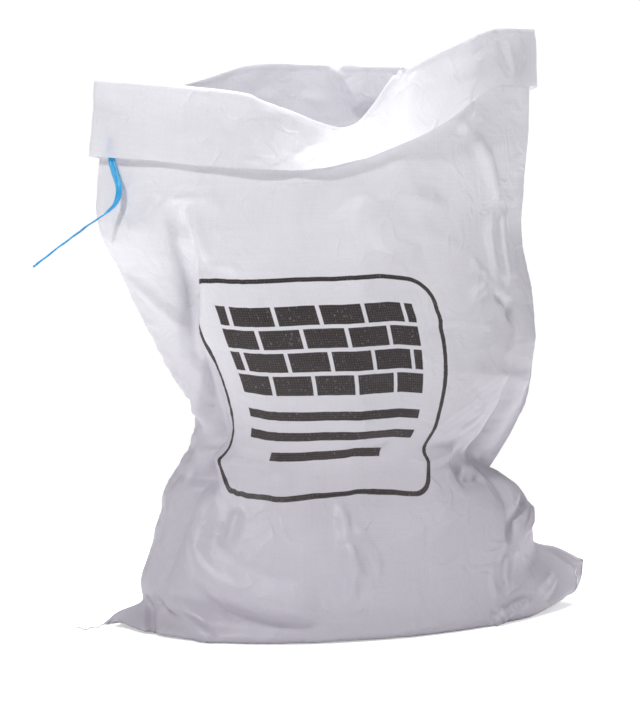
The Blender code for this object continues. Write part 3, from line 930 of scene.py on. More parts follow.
@dataclass(frozen=True)
class WovenFabric:
    """The finish of the white woven cloth, with its printed panel.

    Attributes:
        tape: the width of a tape of the weave, in metres.
        pale: the cloth's colour in the upper part of the sack, where light passes through it.
        deep: a darker copy of the cloth's colour that it fades to over the base, painted shade for the dimmer lower
            body.
        ink: the printing ink.
        through: how much of the light passes through the cloth in its upper part, and over the base.
        roughness: the roughness of the film.
    """

    tape: float = 0.0026
    pale: Colour = (0.860, 0.852, 0.888, 1.0)
    deep: Colour = (0.520, 0.495, 0.558, 1.0)
    ink: Colour = (0.034, 0.026, 0.026, 1.0)
    through: Pair = (0.40, 0.10)
    roughness: float = 0.42

    def build(self, effects: Effects, panel: BrickPanel) -> bpy.types.Material:
        """The material, which reads the cloth's own UV map and its height up the sack."""
        graph, shader, output = new_material("woven_white")
        cloth = graph.add("ShaderNodeUVMap", uv_map="cloth").outputs[0]
        up = graph.add("ShaderNodeAttribute", attribute_name="up").outputs["Fac"]
        place = graph.add("ShaderNodeTexCoord").outputs["Object"]
        weave = graph.add("ShaderNodeGroup", node_tree=effects.weave)
        graph.put(weave.inputs["Cloth"], cloth)
        weave.inputs["Tape"].default_value = self.tape
        grain = graph.add("ShaderNodeGroup", node_tree=effects.grain)
        graph.put(grain.inputs["Place"], place)
        grain.inputs["Mottle"].default_value = 14.0
        grain.inputs["Crinkle"].default_value = 26.0
        tapes = graph.moved(cloth, (1 / self.tape, 1 / self.tape / 40, 1))
        streak_up = graph.noise(tapes, 1.0, 1.0)
        tapes = graph.moved(cloth, (1 / self.tape / 40, 1 / self.tape, 1))
        streak_round = graph.noise(tapes, 1.0, 1.0)
        streak = graph.between(weave.outputs["Over"], streak_up, streak_round)
        # painted shade: the colour fades from deep at the base to pale up the sack, which darkens the lower body; the
        # same ramp sets how much light passes through
        painted_shade_and_translucency_ramp = graph.ramp(up, 0.30, 0.98)
        tone = graph.blend(painted_shade_and_translucency_ramp, self.deep, self.pale)
        tone_dark = graph.add("ShaderNodeHueSaturation", {"Value": 0.975, "Color": tone}).outputs[0]
        tone = graph.blend(graph.ramp(streak, 0.35, 0.65), tone_dark, tone)
        # painted shade: the cloth's colour is darkened a little in the gaps between the tapes
        gap = graph.math("MULTIPLY", weave.outputs["Gap"], 0.12)
        tone = graph.blend(gap, tone, graph.add("ShaderNodeHueSaturation", {"Value": 0.72, "Color": tone}).outputs[0])
        worn = graph.ramp(graph.noise(place, 420.0, 2.0), 0.60, 0.72)
        speckle = graph.math("MAXIMUM", graph.math("MULTIPLY", worn, 0.16), graph.math("MULTIPLY", weave.outputs["Gap"], 0.10))
        ink = graph.math("MULTIPLY", panel.mask(graph, cloth), graph.math("SUBTRACT", 1.0, speckle))
        colour = graph.blend(ink, tone, self.ink)
        graph.put(shader.inputs["Base Color"], colour)
        rough = graph.between(grain.outputs["Mottling"], self.roughness - 0.08, self.roughness + 0.08)
        graph.put(shader.inputs["Roughness"], graph.between(ink, rough, 0.46))
        shader.inputs["Specular IOR Level"].default_value = 0.45
        fine = graph.math("MULTIPLY", weave.outputs["Height"], 0.00016)
        crinkle = graph.math("MULTIPLY", grain.outputs["Crinkles"], 0.00060)
        soft = graph.math("MULTIPLY", graph.noise(place, 11.0, 2.0, 0.5), 0.0040)
        height = graph.math("ADD", graph.math("ADD", fine, crinkle), soft)
        bump = graph.add("ShaderNodeBump", {"Height": height, "Distance": 1.0, "Strength": 0.8})
        graph.put(shader.inputs["Normal"], bump.outputs[0])
        lit = graph.add("ShaderNodeBsdfTranslucent", {"Color": colour, "Normal": bump.outputs[0]})
        factor = graph.between(painted_shade_and_translucency_ramp, self.through[1], self.through[0])
        mix = graph.add("ShaderNodeMixShader", {0: factor, 1: shader.outputs[0], 2: lit.outputs[0]})
        graph.put(output.inputs["Surface"], mix.outputs[0])
        return graph_material(graph)


def graph_material(graph: Graph) -> bpy.types.Material:
    """The material that a graph's tree belongs to."""
    return next(m for m in bpy.data.materials if m.node_tree == graph.tree)


@dataclass(frozen=True)
class FilmTape:
    """The finish of the blue film tie: a drawn film with fine lengthwise streaks."""

    blue: Colour = (0.010, 0.330, 0.720, 1.0)
    light: Colour = (0.090, 0.560, 0.860, 1.0)
    roughness: float = 0.28

    def build(self, effects: Effects) -> bpy.types.Material:
        """The material, which reads the tape's own UV map: x along it and y across it, in metres."""
        graph, shader, output = new_material("tie_blue")
        film = graph.add("ShaderNodeUVMap", uv_map="film").outputs[0]
        grain = graph.add("ShaderNodeGroup", node_tree=effects.grain)
        graph.put(grain.inputs["Place"], graph.moved(film, (0.12, 1.6, 1.0)))
        grain.inputs["Mottle"].default_value = 900.0
        grain.inputs["Crinkle"].default_value = 420.0
        colour = graph.blend(graph.ramp(grain.outputs["Mottling"], 0.38, 0.66), self.blue, self.light)
        graph.put(shader.inputs["Base Color"], colour)
        graph.put(shader.inputs["Roughness"], graph.between(grain.outputs["Mottling"], self.roughness, 0.45))
        height = graph.math("MULTIPLY", grain.outputs["Crinkles"], 0.00012)
        bump = graph.add("ShaderNodeBump", {"Height": height, "Distance": 1.0, "Strength": 0.9})
        graph.put(shader.inputs["Normal"], bump.outputs[0])
        lit = graph.add("ShaderNodeBsdfTranslucent", {"Color": colour})
        mix = graph.add("ShaderNodeMixShader", {0: 0.25, 1: shader.outputs[0], 2: lit.outputs[0]})
        graph.put(output.inputs["Surface"], mix.outputs[0])
        return graph_material(graph)


@dataclass(frozen=True)
class SewingThread:
    """The finish of the white sewing thread: two plies wound round each other."""

    white: Colour = (0.74, 0.73, 0.77, 1.0)
    ply: float = 0.0011

    def build(self, effects: Effects) -> bpy.types.Material:
        """The material, which reads the thread's UV map: x along it and y round it, in metres."""
        graph, shader, output = new_material("thread_white")
        twist = graph.add("ShaderNodeUVMap", uv_map="twist").outputs[0]
        grain = graph.add("ShaderNodeGroup", node_tree=effects.grain)
        graph.put(grain.inputs["Place"], twist)
        grain.inputs["Mottle"].default_value = 1500.0
        parts = graph.add("ShaderNodeSeparateXYZ", {0: twist})
        turn = graph.math("DIVIDE", graph.math("ADD", parts.outputs[0], parts.outputs[1]), self.ply)
        wave = graph.math("SINE", graph.math("MULTIPLY", turn, 2 * math.pi))
        # painted shade: the thread's colour is darkened in the grooves between its two plies
        shade = graph.ramp(wave, -1.0, 0.2, 0.72, 1.0)
        dark = tuple(0.7 * c for c in self.white[:3]) + (1.0,)
        graph.put(shader.inputs["Base Color"], graph.blend(shade, dark, self.white))
        graph.put(shader.inputs["Roughness"], graph.between(grain.outputs["Mottling"], 0.5, 0.75))
        height = graph.math("MULTIPLY", wave, 0.00012)
        bump = graph.add("ShaderNodeBump", {"Height": height, "Distance": 1.0})
        graph.put(shader.inputs["Normal"], bump.outputs[0])
        return graph_material(graph)


# The pieces


@dataclass
class Studio:
    """The camera, the light and the floor.

    Attributes:
        view: the camera's place, its aim and its lens.
        floor_radius: the floor's radius.
        world: how bright the surround is as a light.
        backdrop: how bright the surround and the floor show.
    """

    view: PhotoView = field(default_factory=PhotoView)
    floor_radius: float = 6.0
    world: float = 0.24
    backdrop: float = 1.02

    def build_camera(self) -> bpy.types.Object:
        """The camera at the photograph's viewing angle."""
        data = bpy.data.cameras.new("camera")
        data.lens = self.view.lens
        data.sensor_width = 36.0
        data.clip_start = 0.05
        made = bpy.data.objects.new("camera", data)
        made.location = self.view.camera_at
        way = Vector(self.view.looks_at) - Vector(self.view.camera_at)
        made.rotation_euler = way.to_track_quat("-Z", "Y").to_euler()
        bpy.context.scene.collection.objects.link(made)
        bpy.context.scene.camera = made
        return made

    def build_light(self, name: str, at: Point, to: Point, size: float, watts: float) -> bpy.types.Object:
        """A square soft light at a place, pointed at another."""
        data = bpy.data.lights.new(name, "AREA")
        data.size = size
        data.energy = watts
        made = bpy.data.objects.new(name, data)
        made.location = at
        made.rotation_euler = (Vector(to) - Vector(at)).to_track_quat("-Z", "Y").to_euler()
        bpy.context.scene.collection.objects.link(made)
        return made

    def build(self) -> None:
        """Everything but the camera: the white surround, three soft lights and the floor."""
        scene = bpy.context.scene
        scene.view_settings.view_transform = "Standard"
        scene.world = bpy.data.worlds.new("studio")
        scene.world.use_nodes = True
        surround = Graph(scene.world.node_tree)
        background = scene.world.node_tree.nodes["Background"]
        background.inputs[0].default_value = (1.0, 1.0, 1.0, 1.0)
        seen = surround.add("ShaderNodeLightPath").outputs["Is Camera Ray"]
        surround.put(background.inputs[1], surround.between(seen, self.world, self.backdrop))
        self.build_light("key", (-1.7, -1.2, 2.5), (0.0, 0.0, 0.30), 0.25, 52.0)
        self.build_light("top", (0.1, 0.2, 2.5), (0.0, 0.0, 0.30), 0.5, 50.0)
        self.build_light("behind", (0.9, 2.2, 1.5), (0.0, 0.0, 0.45), 1.0, 42.0)
        self.build_light("right", (1.9, -1.8, 1.7), (0.0, 0.0, 0.35), 0.5, 15.0)
        angle = np.linspace(0, 2 * np.pi, 96, endpoint=False)
        rings = np.array([0.6, self.floor_radius])[:, None]
        outer = np.stack([rings * np.cos(angle), rings * np.sin(angle), 0 * rings * angle], axis=-1)
        vertices = np.concatenate([outer.reshape(-1, 3), [[0, 0, 0]]])
        k = np.arange(96)
        n = (k + 1) % 96
        band = np.stack([k, k + 96, n + 96, n], axis=1)
        floor = mesh_object("studio_floor", vertices, band, smooth=False)
        disc = bpy.data.meshes.new("studio_floor_middle")
        disc.from_pydata(vertices[:96].tolist(), [], [list(range(96))])
        middle = bpy.data.objects.new("studio_floor_middle", disc)
        bpy.context.scene.collection.objects.link(middle)
        graph, shader, output = new_material("studio_white")
        place = graph.add("ShaderNodeTexCoord").outputs["Object"]
        mottle = graph.ramp(graph.noise(place, 2.0), 0.3, 0.7)
        graph.put(shader.inputs["Base Color"], graph.blend(mottle, (0.93, 0.93, 0.93, 1), (0.95, 0.95, 0.95, 1)))
        shader.inputs["Roughness"].default_value = 0.8
        shader.inputs["Specular IOR Level"].default_value = 0.1
        shader.inputs["Emission Color"].default_value = (1.0, 1.0, 1.0, 1.0)
        seen = graph.add("ShaderNodeLightPath").outputs["Is Camera Ray"]
        graph.put(shader.inputs["Emission Strength"], graph.math("MULTIPLY", seen, 0.45))
        spot = graph.add("ShaderNodeVectorMath", {0: place}, operation="LENGTH").outputs["Value"]
        far = graph.math("MULTIPLY", graph.ramp(spot, 0.50, 0.85), seen)
        clear = graph.add("ShaderNodeBsdfTransparent").outputs[0]
        mix = graph.add("ShaderNodeMixShader", {0: far, 1: shader.outputs[0], 2: clear})
        graph.put(output.inputs["Surface"], mix.outputs[0])
        for part in (floor, middle):
            part.data.materials.append(graph_material(graph))


@dataclass
class SackCloth:
    """The woven tube: its form, its folds, and the mesh that shows them.

    Attributes:
        sizes: the driving dimensions.
        tucks: lengthwise folds that take up cloth.
        folds: pressed lines.
        levels: the grids, from the coarsest to the one that is shown.
        rounds: rounds of relaxation on each grid.
        bends: how much of each bend a round takes out, on each grid.
        around: the length of cloth once round the tube.
        cuff_height: the height up the cloth of the cuff's lower edge, where that is lowest.
        slack: the share of the spare cloth up the sack that shows as buckles.
        creases, crease_seed: how many small creases there are, and which.
        view: the camera, for folds that are placed by pixels.
        points: the finished grid.
    """

    sizes: SackSizes = field(default_factory=SackSizes)
    tucks: tuple[Tuck, ...] = (
        Tuck(
            (
                (0.14, 0.050, 0.08, 0),
                (0.3, 0.052, 0.08, 0.06),
                (0.42, 0.054, 0.09, 0.2),
                (0.5, 0.060, 0.09, 0.26),
                (0.62, 0.074, 0.09, 0.24),
                (0.8, 0.092, 0.08, 0.22),
                (0.905, 0.102, 0.055, 0.14),
                (0.945, 0.104, 0.045, 0),
            )
        ),
        Tuck(
            (
                (0.2, 0.455, 0.08, 0),
                (0.34, 0.462, 0.085, 0.1),
                (0.44, 0.47, 0.09, 0.24),
                (0.52, 0.472, 0.08, 0.14),
                (0.62, 0.472, 0.07, 0.04),
                (0.7, 0.47, 0.06, 0),
            )
        ),
        Tuck(
            (
                (0.18, 0.69, 0.08, 0),
                (0.34, 0.69, 0.09, 0.08),
                (0.45, 0.69, 0.1, 0.2),
                (0.58, 0.69, 0.09, 0.1),
                (0.9, 0.68, 0.06, 0),
            )
        ),
        Tuck(
            (
                (0.14, 0.84, 0.08, 0),
                (0.34, 0.845, 0.09, 0.07),
                (0.45, 0.85, 0.1, 0.18),
                (0.6, 0.855, 0.08, 0.04),
                (0.72, 0.86, 0.07, 0),
            )
        ),
        Tuck(
            (
                (0.2, 1, 0.08, 0),
                (0.36, 0.995, 0.09, 0.09),
                (0.46, 0.99, 0.1, 0.22),
                (0.58, 0.99, 0.09, 0.12),
                (0.9, 0.98, 0.06, 0.03),
                (0.96, 0.98, 0.05, 0),
            )
        ),
    )
    folds: tuple[Fold, ...] = (
        Fold(Side.FRONT, ((160, 199), (185, 194), (209, 194), (224, 216)), 0.0043, 0.012),
        Fold(Side.FRONT, ((167, 195), (142, 222), (124, 228)), 0.0058, 0.014),
        Fold(Side.FRONT, ((181, 199), (187, 240), (195, 300), (199, 370)), -0.0105, 0.020, taper=0.12),
        Fold(Side.FRONT, ((186, 200), (198, 235), (209, 266)), 0.0043, 0.011),
        Fold(Side.FRONT, ((203, 268), (222, 266), (240, 266)), 0.0020, 0.009),
        Fold(Side.FRONT, ((124, 272), (150, 296), (172, 318), (196, 335)), 0.0043, 0.013),
        Fold(Side.FRONT, ((206, 262), (204, 330), (200, 387), (196, 420)), 0.0085, 0.020, taper=0.10),
        Fold(Side.FRONT, ((363, 184), (363, 247), (359, 300), (358, 385), (357, 450)), 0.0085, 0.06, taper=0.06),
        Fold(Side.FRONT, ((363, 252), (395, 254), (427, 257)), 0.0038, 0.03),
        Fold(Side.FRONT, ((245, 186), (300, 185), (362, 183)), 0.0026, 0.012, FoldKind.LAP),
        Fold(Side.FRONT, ((376, 192), (398, 193), (415, 195), (447, 206)), 0.0058, 0.014),
        Fold(Side.FRONT, ((476, 100), (461, 123), (471, 130)), 0.0058, 0.01),
        Fold(Side.FRONT, ((471, 130), (486, 157), (491, 174), (497, 208)), 0.0066, 0.012),
        Fold(Side.FRONT, ((496, 205), (497, 286)), 0.0058, 0.0085),
        Fold(Side.FRONT, ((508, 205), (508, 290)), 0.0058, 0.0085),
        Fold(Side.FRONT, ((470, 262), (480, 268), (492, 277)), 0.0039, 0.007),
        Fold(Side.FRONT, ((472, 298), (482, 290), (490, 284)), 0.0039, 0.007),
        Fold(Side.FRONT, ((493, 292), (512, 306), (508, 322)), -0.0078, 0.01),
        Fold(Side.FRONT, ((392, 317), (450, 319), (507, 324)), 0.0026, 0.01),
        Fold(Side.FRONT, ((425, 330), (466, 328)), -0.0017, 0.008),
        Fold(Side.FRONT, ((442, 369), (476, 372), (529, 383)), 0.0029, 0.012),
        Fold(Side.FRONT, ((385, 215), (410, 230), (470, 250)), 0.0023, 0.01),
        Fold(Side.FRONT, ((184, 447), (224, 457), (240, 462), (300, 475)), 0.0095, 0.017),
        Fold(Side.FRONT, ((186, 472), (203, 475), (222, 486)), -0.0095, 0.018),
        Fold(Side.FRONT, ((410, 463), (440, 455), (458, 448)), 0.0067, 0.014),
        Fold(Side.FRONT, ((456, 448), (463, 478), (482, 475)), -0.0087, 0.014),
        Fold(Side.FRONT, ((216, 490), (203, 520), (197, 545), (205, 570), (226, 588), (262, 602), (328, 608)), 0.0100, 0.024, FoldKind.ROUND, taper=0.15),
        Fold(Side.FRONT, ((239, 508), (233, 530), (228, 549)), 0.0049, 0.01),
        Fold(Side.FRONT, ((338, 498), (345, 540), (367, 583)), 0.0073, 0.009),
        Fold(Side.FRONT, ((346, 542), (352, 572), (355, 602)), 0.0065, 0.009),
        Fold(Side.FRONT, ((350, 520), (374, 555), (384, 582)), 0.0049, 0.008),
        Fold(Side.FRONT, ((508, 490), (511, 520), (509, 548)), -0.0083, 0.014),
        Fold(Side.FRONT, ((522, 500), (523, 536)), 0.0070, 0.007),
        Fold(Side.FRONT, ((507, 554), (509, 596)), 0.0049, 0.006),
        Fold(Side.FRONT, ((514, 556), (513, 590)), 0.0039, 0.006),
        Fold(Side.FRONT, ((494, 560), (497, 602)), 0.0044, 0.007),
        Fold(Side.FRONT, ((157, 595), (190, 620), (228, 643)), 0.0083, 0.012),
        Fold(Side.FRONT, ((139, 609), (150, 621), (161, 633)), -0.0099, 0.01),
        Fold(Side.FRONT, ((536, 598), (555, 576), (566, 565)), 0.0073, 0.01),
        Fold(Side.FRONT, ((465, 626), (505, 613), (538, 596)), 0.0073, 0.009, FoldKind.LAP),
        Fold(Side.CUFF, ((212, 124), (222, 132), (229, 142)), 0.0014, 0.008),
        Fold(Side.CUFF, ((204, 146), (214, 152)), 0.0014, 0.008),
        Fold(Side.CUFF, ((250, 104), (290, 117), (330, 131)), -0.0022, 0.014),
        Fold(Side.CUFF, ((288, 158), (306, 147), (322, 138)), 0.002, 0.012),
        Fold(Side.CUFF, ((340, 150), (372, 133), (395, 118)), 0.0012, 0.014),
        Fold(Side.CUFF, ((497, 42), (507, 60), (514, 77)), 0.0026, 0.006),
        Fold(Side.CUFF, ((506, 40), (512, 58), (516, 78)), -0.0022, 0.006),
        Fold(Side.CUFF, ((512, 44), (516, 62), (518, 80)), 0.0022, 0.005),
        Fold(Side.CUFF, ((526, 56), (522, 70), (519, 84)), 0.0024, 0.006),
        Fold(Side.CUFF, ((499, 58), (505, 70), (512, 82)), 0.002, 0.006),
        Fold(Side.CUFF, ((440, 60), (470, 58), (496, 46)), 0.0014, 0.014),
        Fold(Side.CUFF, ((108, 100), (110, 128), (108, 152)), 0.002, 0.02, FoldKind.ROUND),
        Fold(Side.INSIDE, ((330, 66), (345, 90), (357, 114)), -0.011, 0.034, FoldKind.LAP, taper=0.12),
        Fold(Side.INSIDE, ((254, 95), (266, 97), (278, 101)), -0.002, 0.008),
        Fold(Side.INSIDE, ((298, 98), (312, 98), (328, 103)), -0.0016, 0.008),
        Fold(Side.INSIDE, ((225, 92), (250, 80), (262, 66)), -0.002, 0.02),
        Fold(Side.CLOTH, ((0.84, 0.3), (0.838, 0.6), (0.84, 0.98)), 0.0052, 0.055, taper=0.06),
        Fold(Side.CLOTH, ((0.6, 0.8), (0.84, 0.79), (1.08, 0.8)), 0.0038, 0.03, taper=0.1),
        Fold(Side.CLOTH, ((0.64, 0.56), (0.74, 0.6), (0.83, 0.58)), 0.0049, 0.014),
        Fold(Side.CLOTH, ((0.88, 0.55), (0.95, 0.52), (1.04, 0.56)), 0.0052, 0.014),
        Fold(Side.CLOTH, ((0.66, 0.44), (0.7, 0.4), (0.78, 0.39)), -0.0072, 0.016),
        Fold(Side.CLOTH, ((0.98, 0.44), (0.93, 0.4), (0.86, 0.41)), -0.0067, 0.015),
        Fold(Side.CLOTH, ((0.7, 0.9), (0.66, 0.78), (0.67, 0.62)), 0.0043, 0.013),
        Fold(Side.CLOTH, ((0.98, 0.93), (1.02, 0.84), (1, 0.7)), 0.0049, 0.013),
        Fold(Side.CLOTH, ((0.75, 0.95), (0.79, 0.88), (0.78, 0.8)), 0.0029, 0.01),
        Fold(Side.CLOTH, ((0.9, 0.74), (0.94, 0.69), (1.02, 0.68)), 0.0026, 0.009),
        Fold(Side.CLOTH, ((0.72, 0.7), (0.76, 0.66), (0.82, 0.67)), -0.0026, 0.009),
        Fold(Side.CLOTH, ((0.78, 0.36), (0.8, 0.28), (0.84, 0.2)), 0.0046, 0.012),
        Fold(Side.CLOTH, ((0.92, 0.36), (0.9, 0.27), (0.94, 0.18)), 0.0043, 0.012),
        Fold(Side.CLOTH, ((0.68, 0.34), (0.66, 0.26), (0.7, 0.18)), 0.0046, 0.013),
        Fold(Side.CLOTH, ((1.03, 0.34), (1.05, 0.26), (1.02, 0.18)), 0.0049, 0.013),
        Fold(Side.CLOTH, ((1.09, 0.52), (1.06, 0.46), (1.08, 0.4)), -0.0058, 0.014),
        Fold(Side.CLOTH, ((0.58, 0.5), (0.61, 0.45), (0.6, 0.38)), -0.0058, 0.014),
        Fold(Side.CLOTH, ((0.66, 2.2), (0.7, 2.5), (0.69, 2.9)), 0.0026, 0.01),
        Fold(Side.CLOTH, ((0.88, 2.1), (0.86, 2.5), (0.9, 2.9)), 0.0023, 0.012),
        Fold(Side.CLOTH, ((1.02, 2.2), (0.99, 2.6), (1, 2.9)), 0.0026, 0.01),
    )
    levels: tuple[Resolution, ...] = (
        Resolution(42, 42, 6),
        Resolution(84, 84, 12),
        Resolution(168, 168, 24),
    )
    rounds: tuple[int, ...] = (160, 90, 24)
    bends: tuple[float, ...] = (0.30, 0.40, 0.50)
    around: float = 1.12
    cuff_height: float = 0.62
    slack: float = 0.35
    creases: int = 90
    crease_seed: int = 4
    view: PhotoView = field(default_factory=PhotoView)
    points: np.ndarray = field(default_factory=lambda: np.zeros((0, 0, 3)))

    def cloth_lengths(self, form: np.ndarray, grid: Resolution) -> np.ndarray:
        """How much cloth lies between the hem and each point, in metres, as every column has the same.

        Args:
            form: the loft over this grid.
            grid: the grid.

        Returns:
            Lengths with a row for each v and a column for each u, all of which end at the same length.
        """
        steps = np.linalg.norm(np.diff(form, axis=0), axis=2)
        top = steps[grid.body :].sum(axis=0)
        body = self.sizes.flat_length - self.sizes.hems - top
        share = np.linspace(0, 1, grid.body + 1)[:, None]
        upper = body + np.cumsum(steps[grid.body :], axis=0)
        return np.concatenate([share * body, upper])

    def cloth_heights(self, form: np.ndarray, grid: Resolution) -> np.ndarray:
        """The height up the cloth at which its print and its folds lie, in metres.

        Down from the cuff the rows of the weave are level, as the sack hangs from there, and the lower half
        of the body takes up the rest evenly.

        Args:
            form: the loft over this grid.
            grid: the grid.

        Returns:
            Heights with a row for each v and a column for each u.
        """
        steps = np.linalg.norm(np.diff(form, axis=0), axis=2)
        passed = np.concatenate([np.zeros((1, steps.shape[1])), np.cumsum(steps, axis=0)])
        edge = passed[grid.body]
        level = self.cuff_height + form[grid.body, :, 2] - form[grid.body, :, 2].min()
        hung = level - (edge - passed)
        middle = grid.body // 2
        lower = hung[middle] * np.linspace(0, 1, middle + 1)[:, None]
        return np.concatenate([lower, hung[middle + 1 :]])

    def crumple(self, u: np.ndarray, s: np.ndarray, v: np.ndarray) -> np.ndarray:
        """Small unevenness of the cloth: ridges where noises pass their middle value, at three sizes."""
        total = np.zeros(u.shape)
        drift = 0.03 * lattice_noise(u, s, 0.08, self.around, 5)
        for cell, height, seed in ((0.10, 0.0030, 11), (0.055, 0.0014, 12), (0.028, 0.0005, 13)):
            value = lattice_noise(u + drift, s + drift, cell, self.around, seed)
            total += height * (0.35 - np.abs(value))
        return total * smoothstep(0.0, 0.10, v)

    def small_creases(self, grid: Resolution) -> list[tuple[Fold, np.ndarray]]:
        """Short creases of the kind that handling leaves in stiff cloth, at seeded places.

        Args:
            grid: the finest grid; not used.

        Returns:
            Each crease with its path as pairs of u and height.
        """
        dice = np.random.default_rng(self.crease_seed)
        made = []
        for _ in range(self.creases):
            u, s = dice.uniform(0, self.around), dice.uniform(0.10, 0.62)
            turn, length = dice.uniform(0, np.pi), dice.uniform(0.015, 0.055)
            bow = dice.uniform(-0.2, 0.2) * length
            t = np.array([-0.5, 0.0, 0.5])
            x = u + t * length * math.cos(turn) + (0.25 - t * t) * 4 * bow * -math.sin(turn)
            y = s + t * length * math.sin(turn) + (0.25 - t * t) * 4 * bow * math.cos(turn)
            sign = 1.0 if dice.uniform() < 0.6 else -1.0
            fold = Fold(Side.CLOTH, (), sign * dice.uniform(0.0006, 0.0016), dice.uniform(0.006, 0.011))
            made.append((fold, np.stack([x, y], axis=1)))
        return made

    def coordinates(self, form: np.ndarray, grid: Resolution) -> tuple[np.ndarray, np.ndarray, np.ndarray]:
        """The u, the height up the cloth and the v of each point of a grid."""
        s = self.cloth_heights(form, grid)
        u = np.arange(grid.columns) * (self.around / grid.columns)
        return (
            np.broadcast_to(u, s.shape),
            s,
            np.broadcast_to(grid.v()[:, None], s.shape),
        )

    def located(self, form: np.ndarray, grid: Resolution) -> list[np.ndarray]:
        """The path of each fold on the cloth, as pairs of u and height.

        A path in pixels takes the place on its side of the cloth that shows nearest to each of them.

        Args:
            form: the loft over the finest grid.
            grid: that grid.

        Returns:
            One array of pairs for each fold.
        """
        u, s, v = self.coordinates(form, grid)
        shown = self.view.pixels(form + np.asarray(self.sizes.to_frame))
        half = self.around / 2
        sides = {
            Side.FRONT: (v > 0.08) & (v <= 1.0) & (u <= half),
            Side.CUFF: (v >= 2.0) & (u <= half),
            Side.INSIDE: (v >= 1.0) & (v <= 2.0) & (u >= half),
        }
        paths = []
        for fold in self.folds:
            given = np.asarray(fold.path, float)
            if fold.side is Side.CLOTH:
                row = np.interp(given[:, 1], grid.v(), np.arange(len(s)))
                column = given[:, 0] / self.around * grid.columns
                place = s[np.round(row).astype(int), np.round(column).astype(int) % grid.columns]
                paths.append(np.stack([given[:, 0], place], axis=1))
                continue
            on = sides[fold.side]
            spots, where = shown[on][:, :2], np.stack([u[on], s[on]], axis=1)
            off = np.linalg.norm(spots[None] - given[:, None], axis=2)
            near = np.argsort(off, axis=1)[:, :4]
            weight = 1 / (np.take_along_axis(off, near, axis=1) + 0.3)
            paths.append((where[near] * weight[..., None]).sum(axis=1) / weight.sum(axis=1)[:, None])
        return paths

    def relaxed(self) -> np.ndarray:
        """The cloth's points, relaxed from the coarsest grid to the finest."""
        form = SackForm(self.sizes, self.tucks)
        finest = self.levels[-1]
        placed = list(zip(self.folds, self.located(form.surface(finest), finest)))
        placed += self.small_creases(finest)
        offset = None
        for grid, rounds, bend in zip(self.levels, self.rounds, self.bends):
            goal = form.surface(grid)
            u, s, v = self.coordinates(goal, grid)
            pressed = sum(fold.raised(u, s, path) for fold, path in placed)
            goal = goal + grid_normals(goal) * (pressed + self.crumple(u, s, v))[..., None]
            goal[..., 2] = np.maximum(goal[..., 2], 0.0004)
            goal[0, grid.half + 1 :] = goal[0, grid.half - 1 : 0 : -1]
            points = goal.copy() if offset is None else goal + finer(offset, *goal.shape[:2])
            relax = self.relaxation(goal, pressed, grid, bend)
            points = np.moveaxis(relax.run(np.moveaxis(points, 2, 0).copy(), rounds), 0, 2)
            points[0] = goal[0]
            offset = points - goal
        return points

    def relaxation(self, goal: np.ndarray, pressed: np.ndarray, grid: Resolution, bend: float) -> ClothRelaxation:
        """The relaxation of one grid towards its goal.

        Round the sack each strip has the cloth's length, or the goal's where that is more. Up the sack the
        cloth that the goal has no room for is added about the waist.
        """
        v = grid.v()[:, None]
        ahead = np.roll(goal, -1, axis=1)
        across = np.linalg.norm(ahead - goal, axis=2)
        for face in (slice(0, grid.half), slice(grid.half, None)):
            spare = 0.97 * self.around / 2 / across[:, face].sum(axis=1, keepdims=True)
            across[:, face] *= np.clip(spare, 1.0, 1.015)
        steps = np.linalg.norm(np.diff(goal, axis=0), axis=2)
        spare = np.diff(self.cloth_lengths(goal, grid), axis=0) - steps
        waist = np.exp(-(((v[:-1] + v[1:]) / 2 - 0.45) ** 2) / (2 * 0.14**2))
        longer = steps + np.clip(spare, 0, None) * self.slack * waist
        hold = 0.04 + 0.5 * (1 - smoothstep(0.0, 0.22, v)) + 0.25 * smoothstep(0.90, 1.0, v)
        hold = hold + 0.25 * np.clip(np.abs(pressed) / 0.002, 0, 1)
        hold[0] = 1.0
        return ClothRelaxation(np.moveaxis(goal, 2, 0).copy(), across, longer, hold, bend=bend)

    def build(self, finish: bpy.types.Material) -> bpy.types.Object:
        """The sack's mesh with its UV map, its height attribute and its finish."""
        grid = self.levels[-1]
        self.points = self.relaxed() + np.asarray(self.sizes.to_frame)
        rows, columns = self.points.shape[:2]
        up = self.cloth_heights(self.points, grid)
        number = np.arange(rows * columns).reshape(rows, columns)
        number[0, grid.half + 1 :] = number[0, grid.half - 1 : 0 : -1]
        ahead = np.roll(number, -1, axis=1)
        faces = np.stack([number[:-1], ahead[:-1], ahead[1:], number[1:]], axis=-1).reshape(-1, 4)
        made = mesh_object("sack_cloth", self.points.reshape(-1, 3), faces)
        u = np.arange(columns + 1) * (self.around / columns)
        high = np.concatenate([up, up[:, :1]], axis=1)
        wide = np.broadcast_to(u, high.shape)
        place = np.stack([wide, high], axis=-1)
        corners = np.stack([place[:-1, :-1], place[:-1, 1:], place[1:, 1:], place[1:, :-1]], axis=2)
        put_uv(made, "cloth", corners)
        put_value(made, "up", np.broadcast_to(grid.v()[:, None], (rows, columns)))
        made.data.materials.append(finish)
        self.report(made)
        return made

    def report(self, made: bpy.types.Object) -> None:
        """Logs the sack's size and the area of its cloth."""
        area = sum(p.area for p in made.data.polygons)
        log.info("sack cloth: %d faces, %.3f m2", len(made.data.polygons), area)

    def at(self, u: np.ndarray, row: float) -> tuple[np.ndarray, np.ndarray]:
        """Points and normals of the finished cloth along one row, at several u."""
        normals = grid_normals(self.points)
        low = int(row)
        columns = self.points.shape[1]
        x = u / self.around * columns
        j = np.floor(x).astype(int)
        f = (x - j)[:, None]
        j, k = j % columns, (j + 1) % columns
        share = row - low

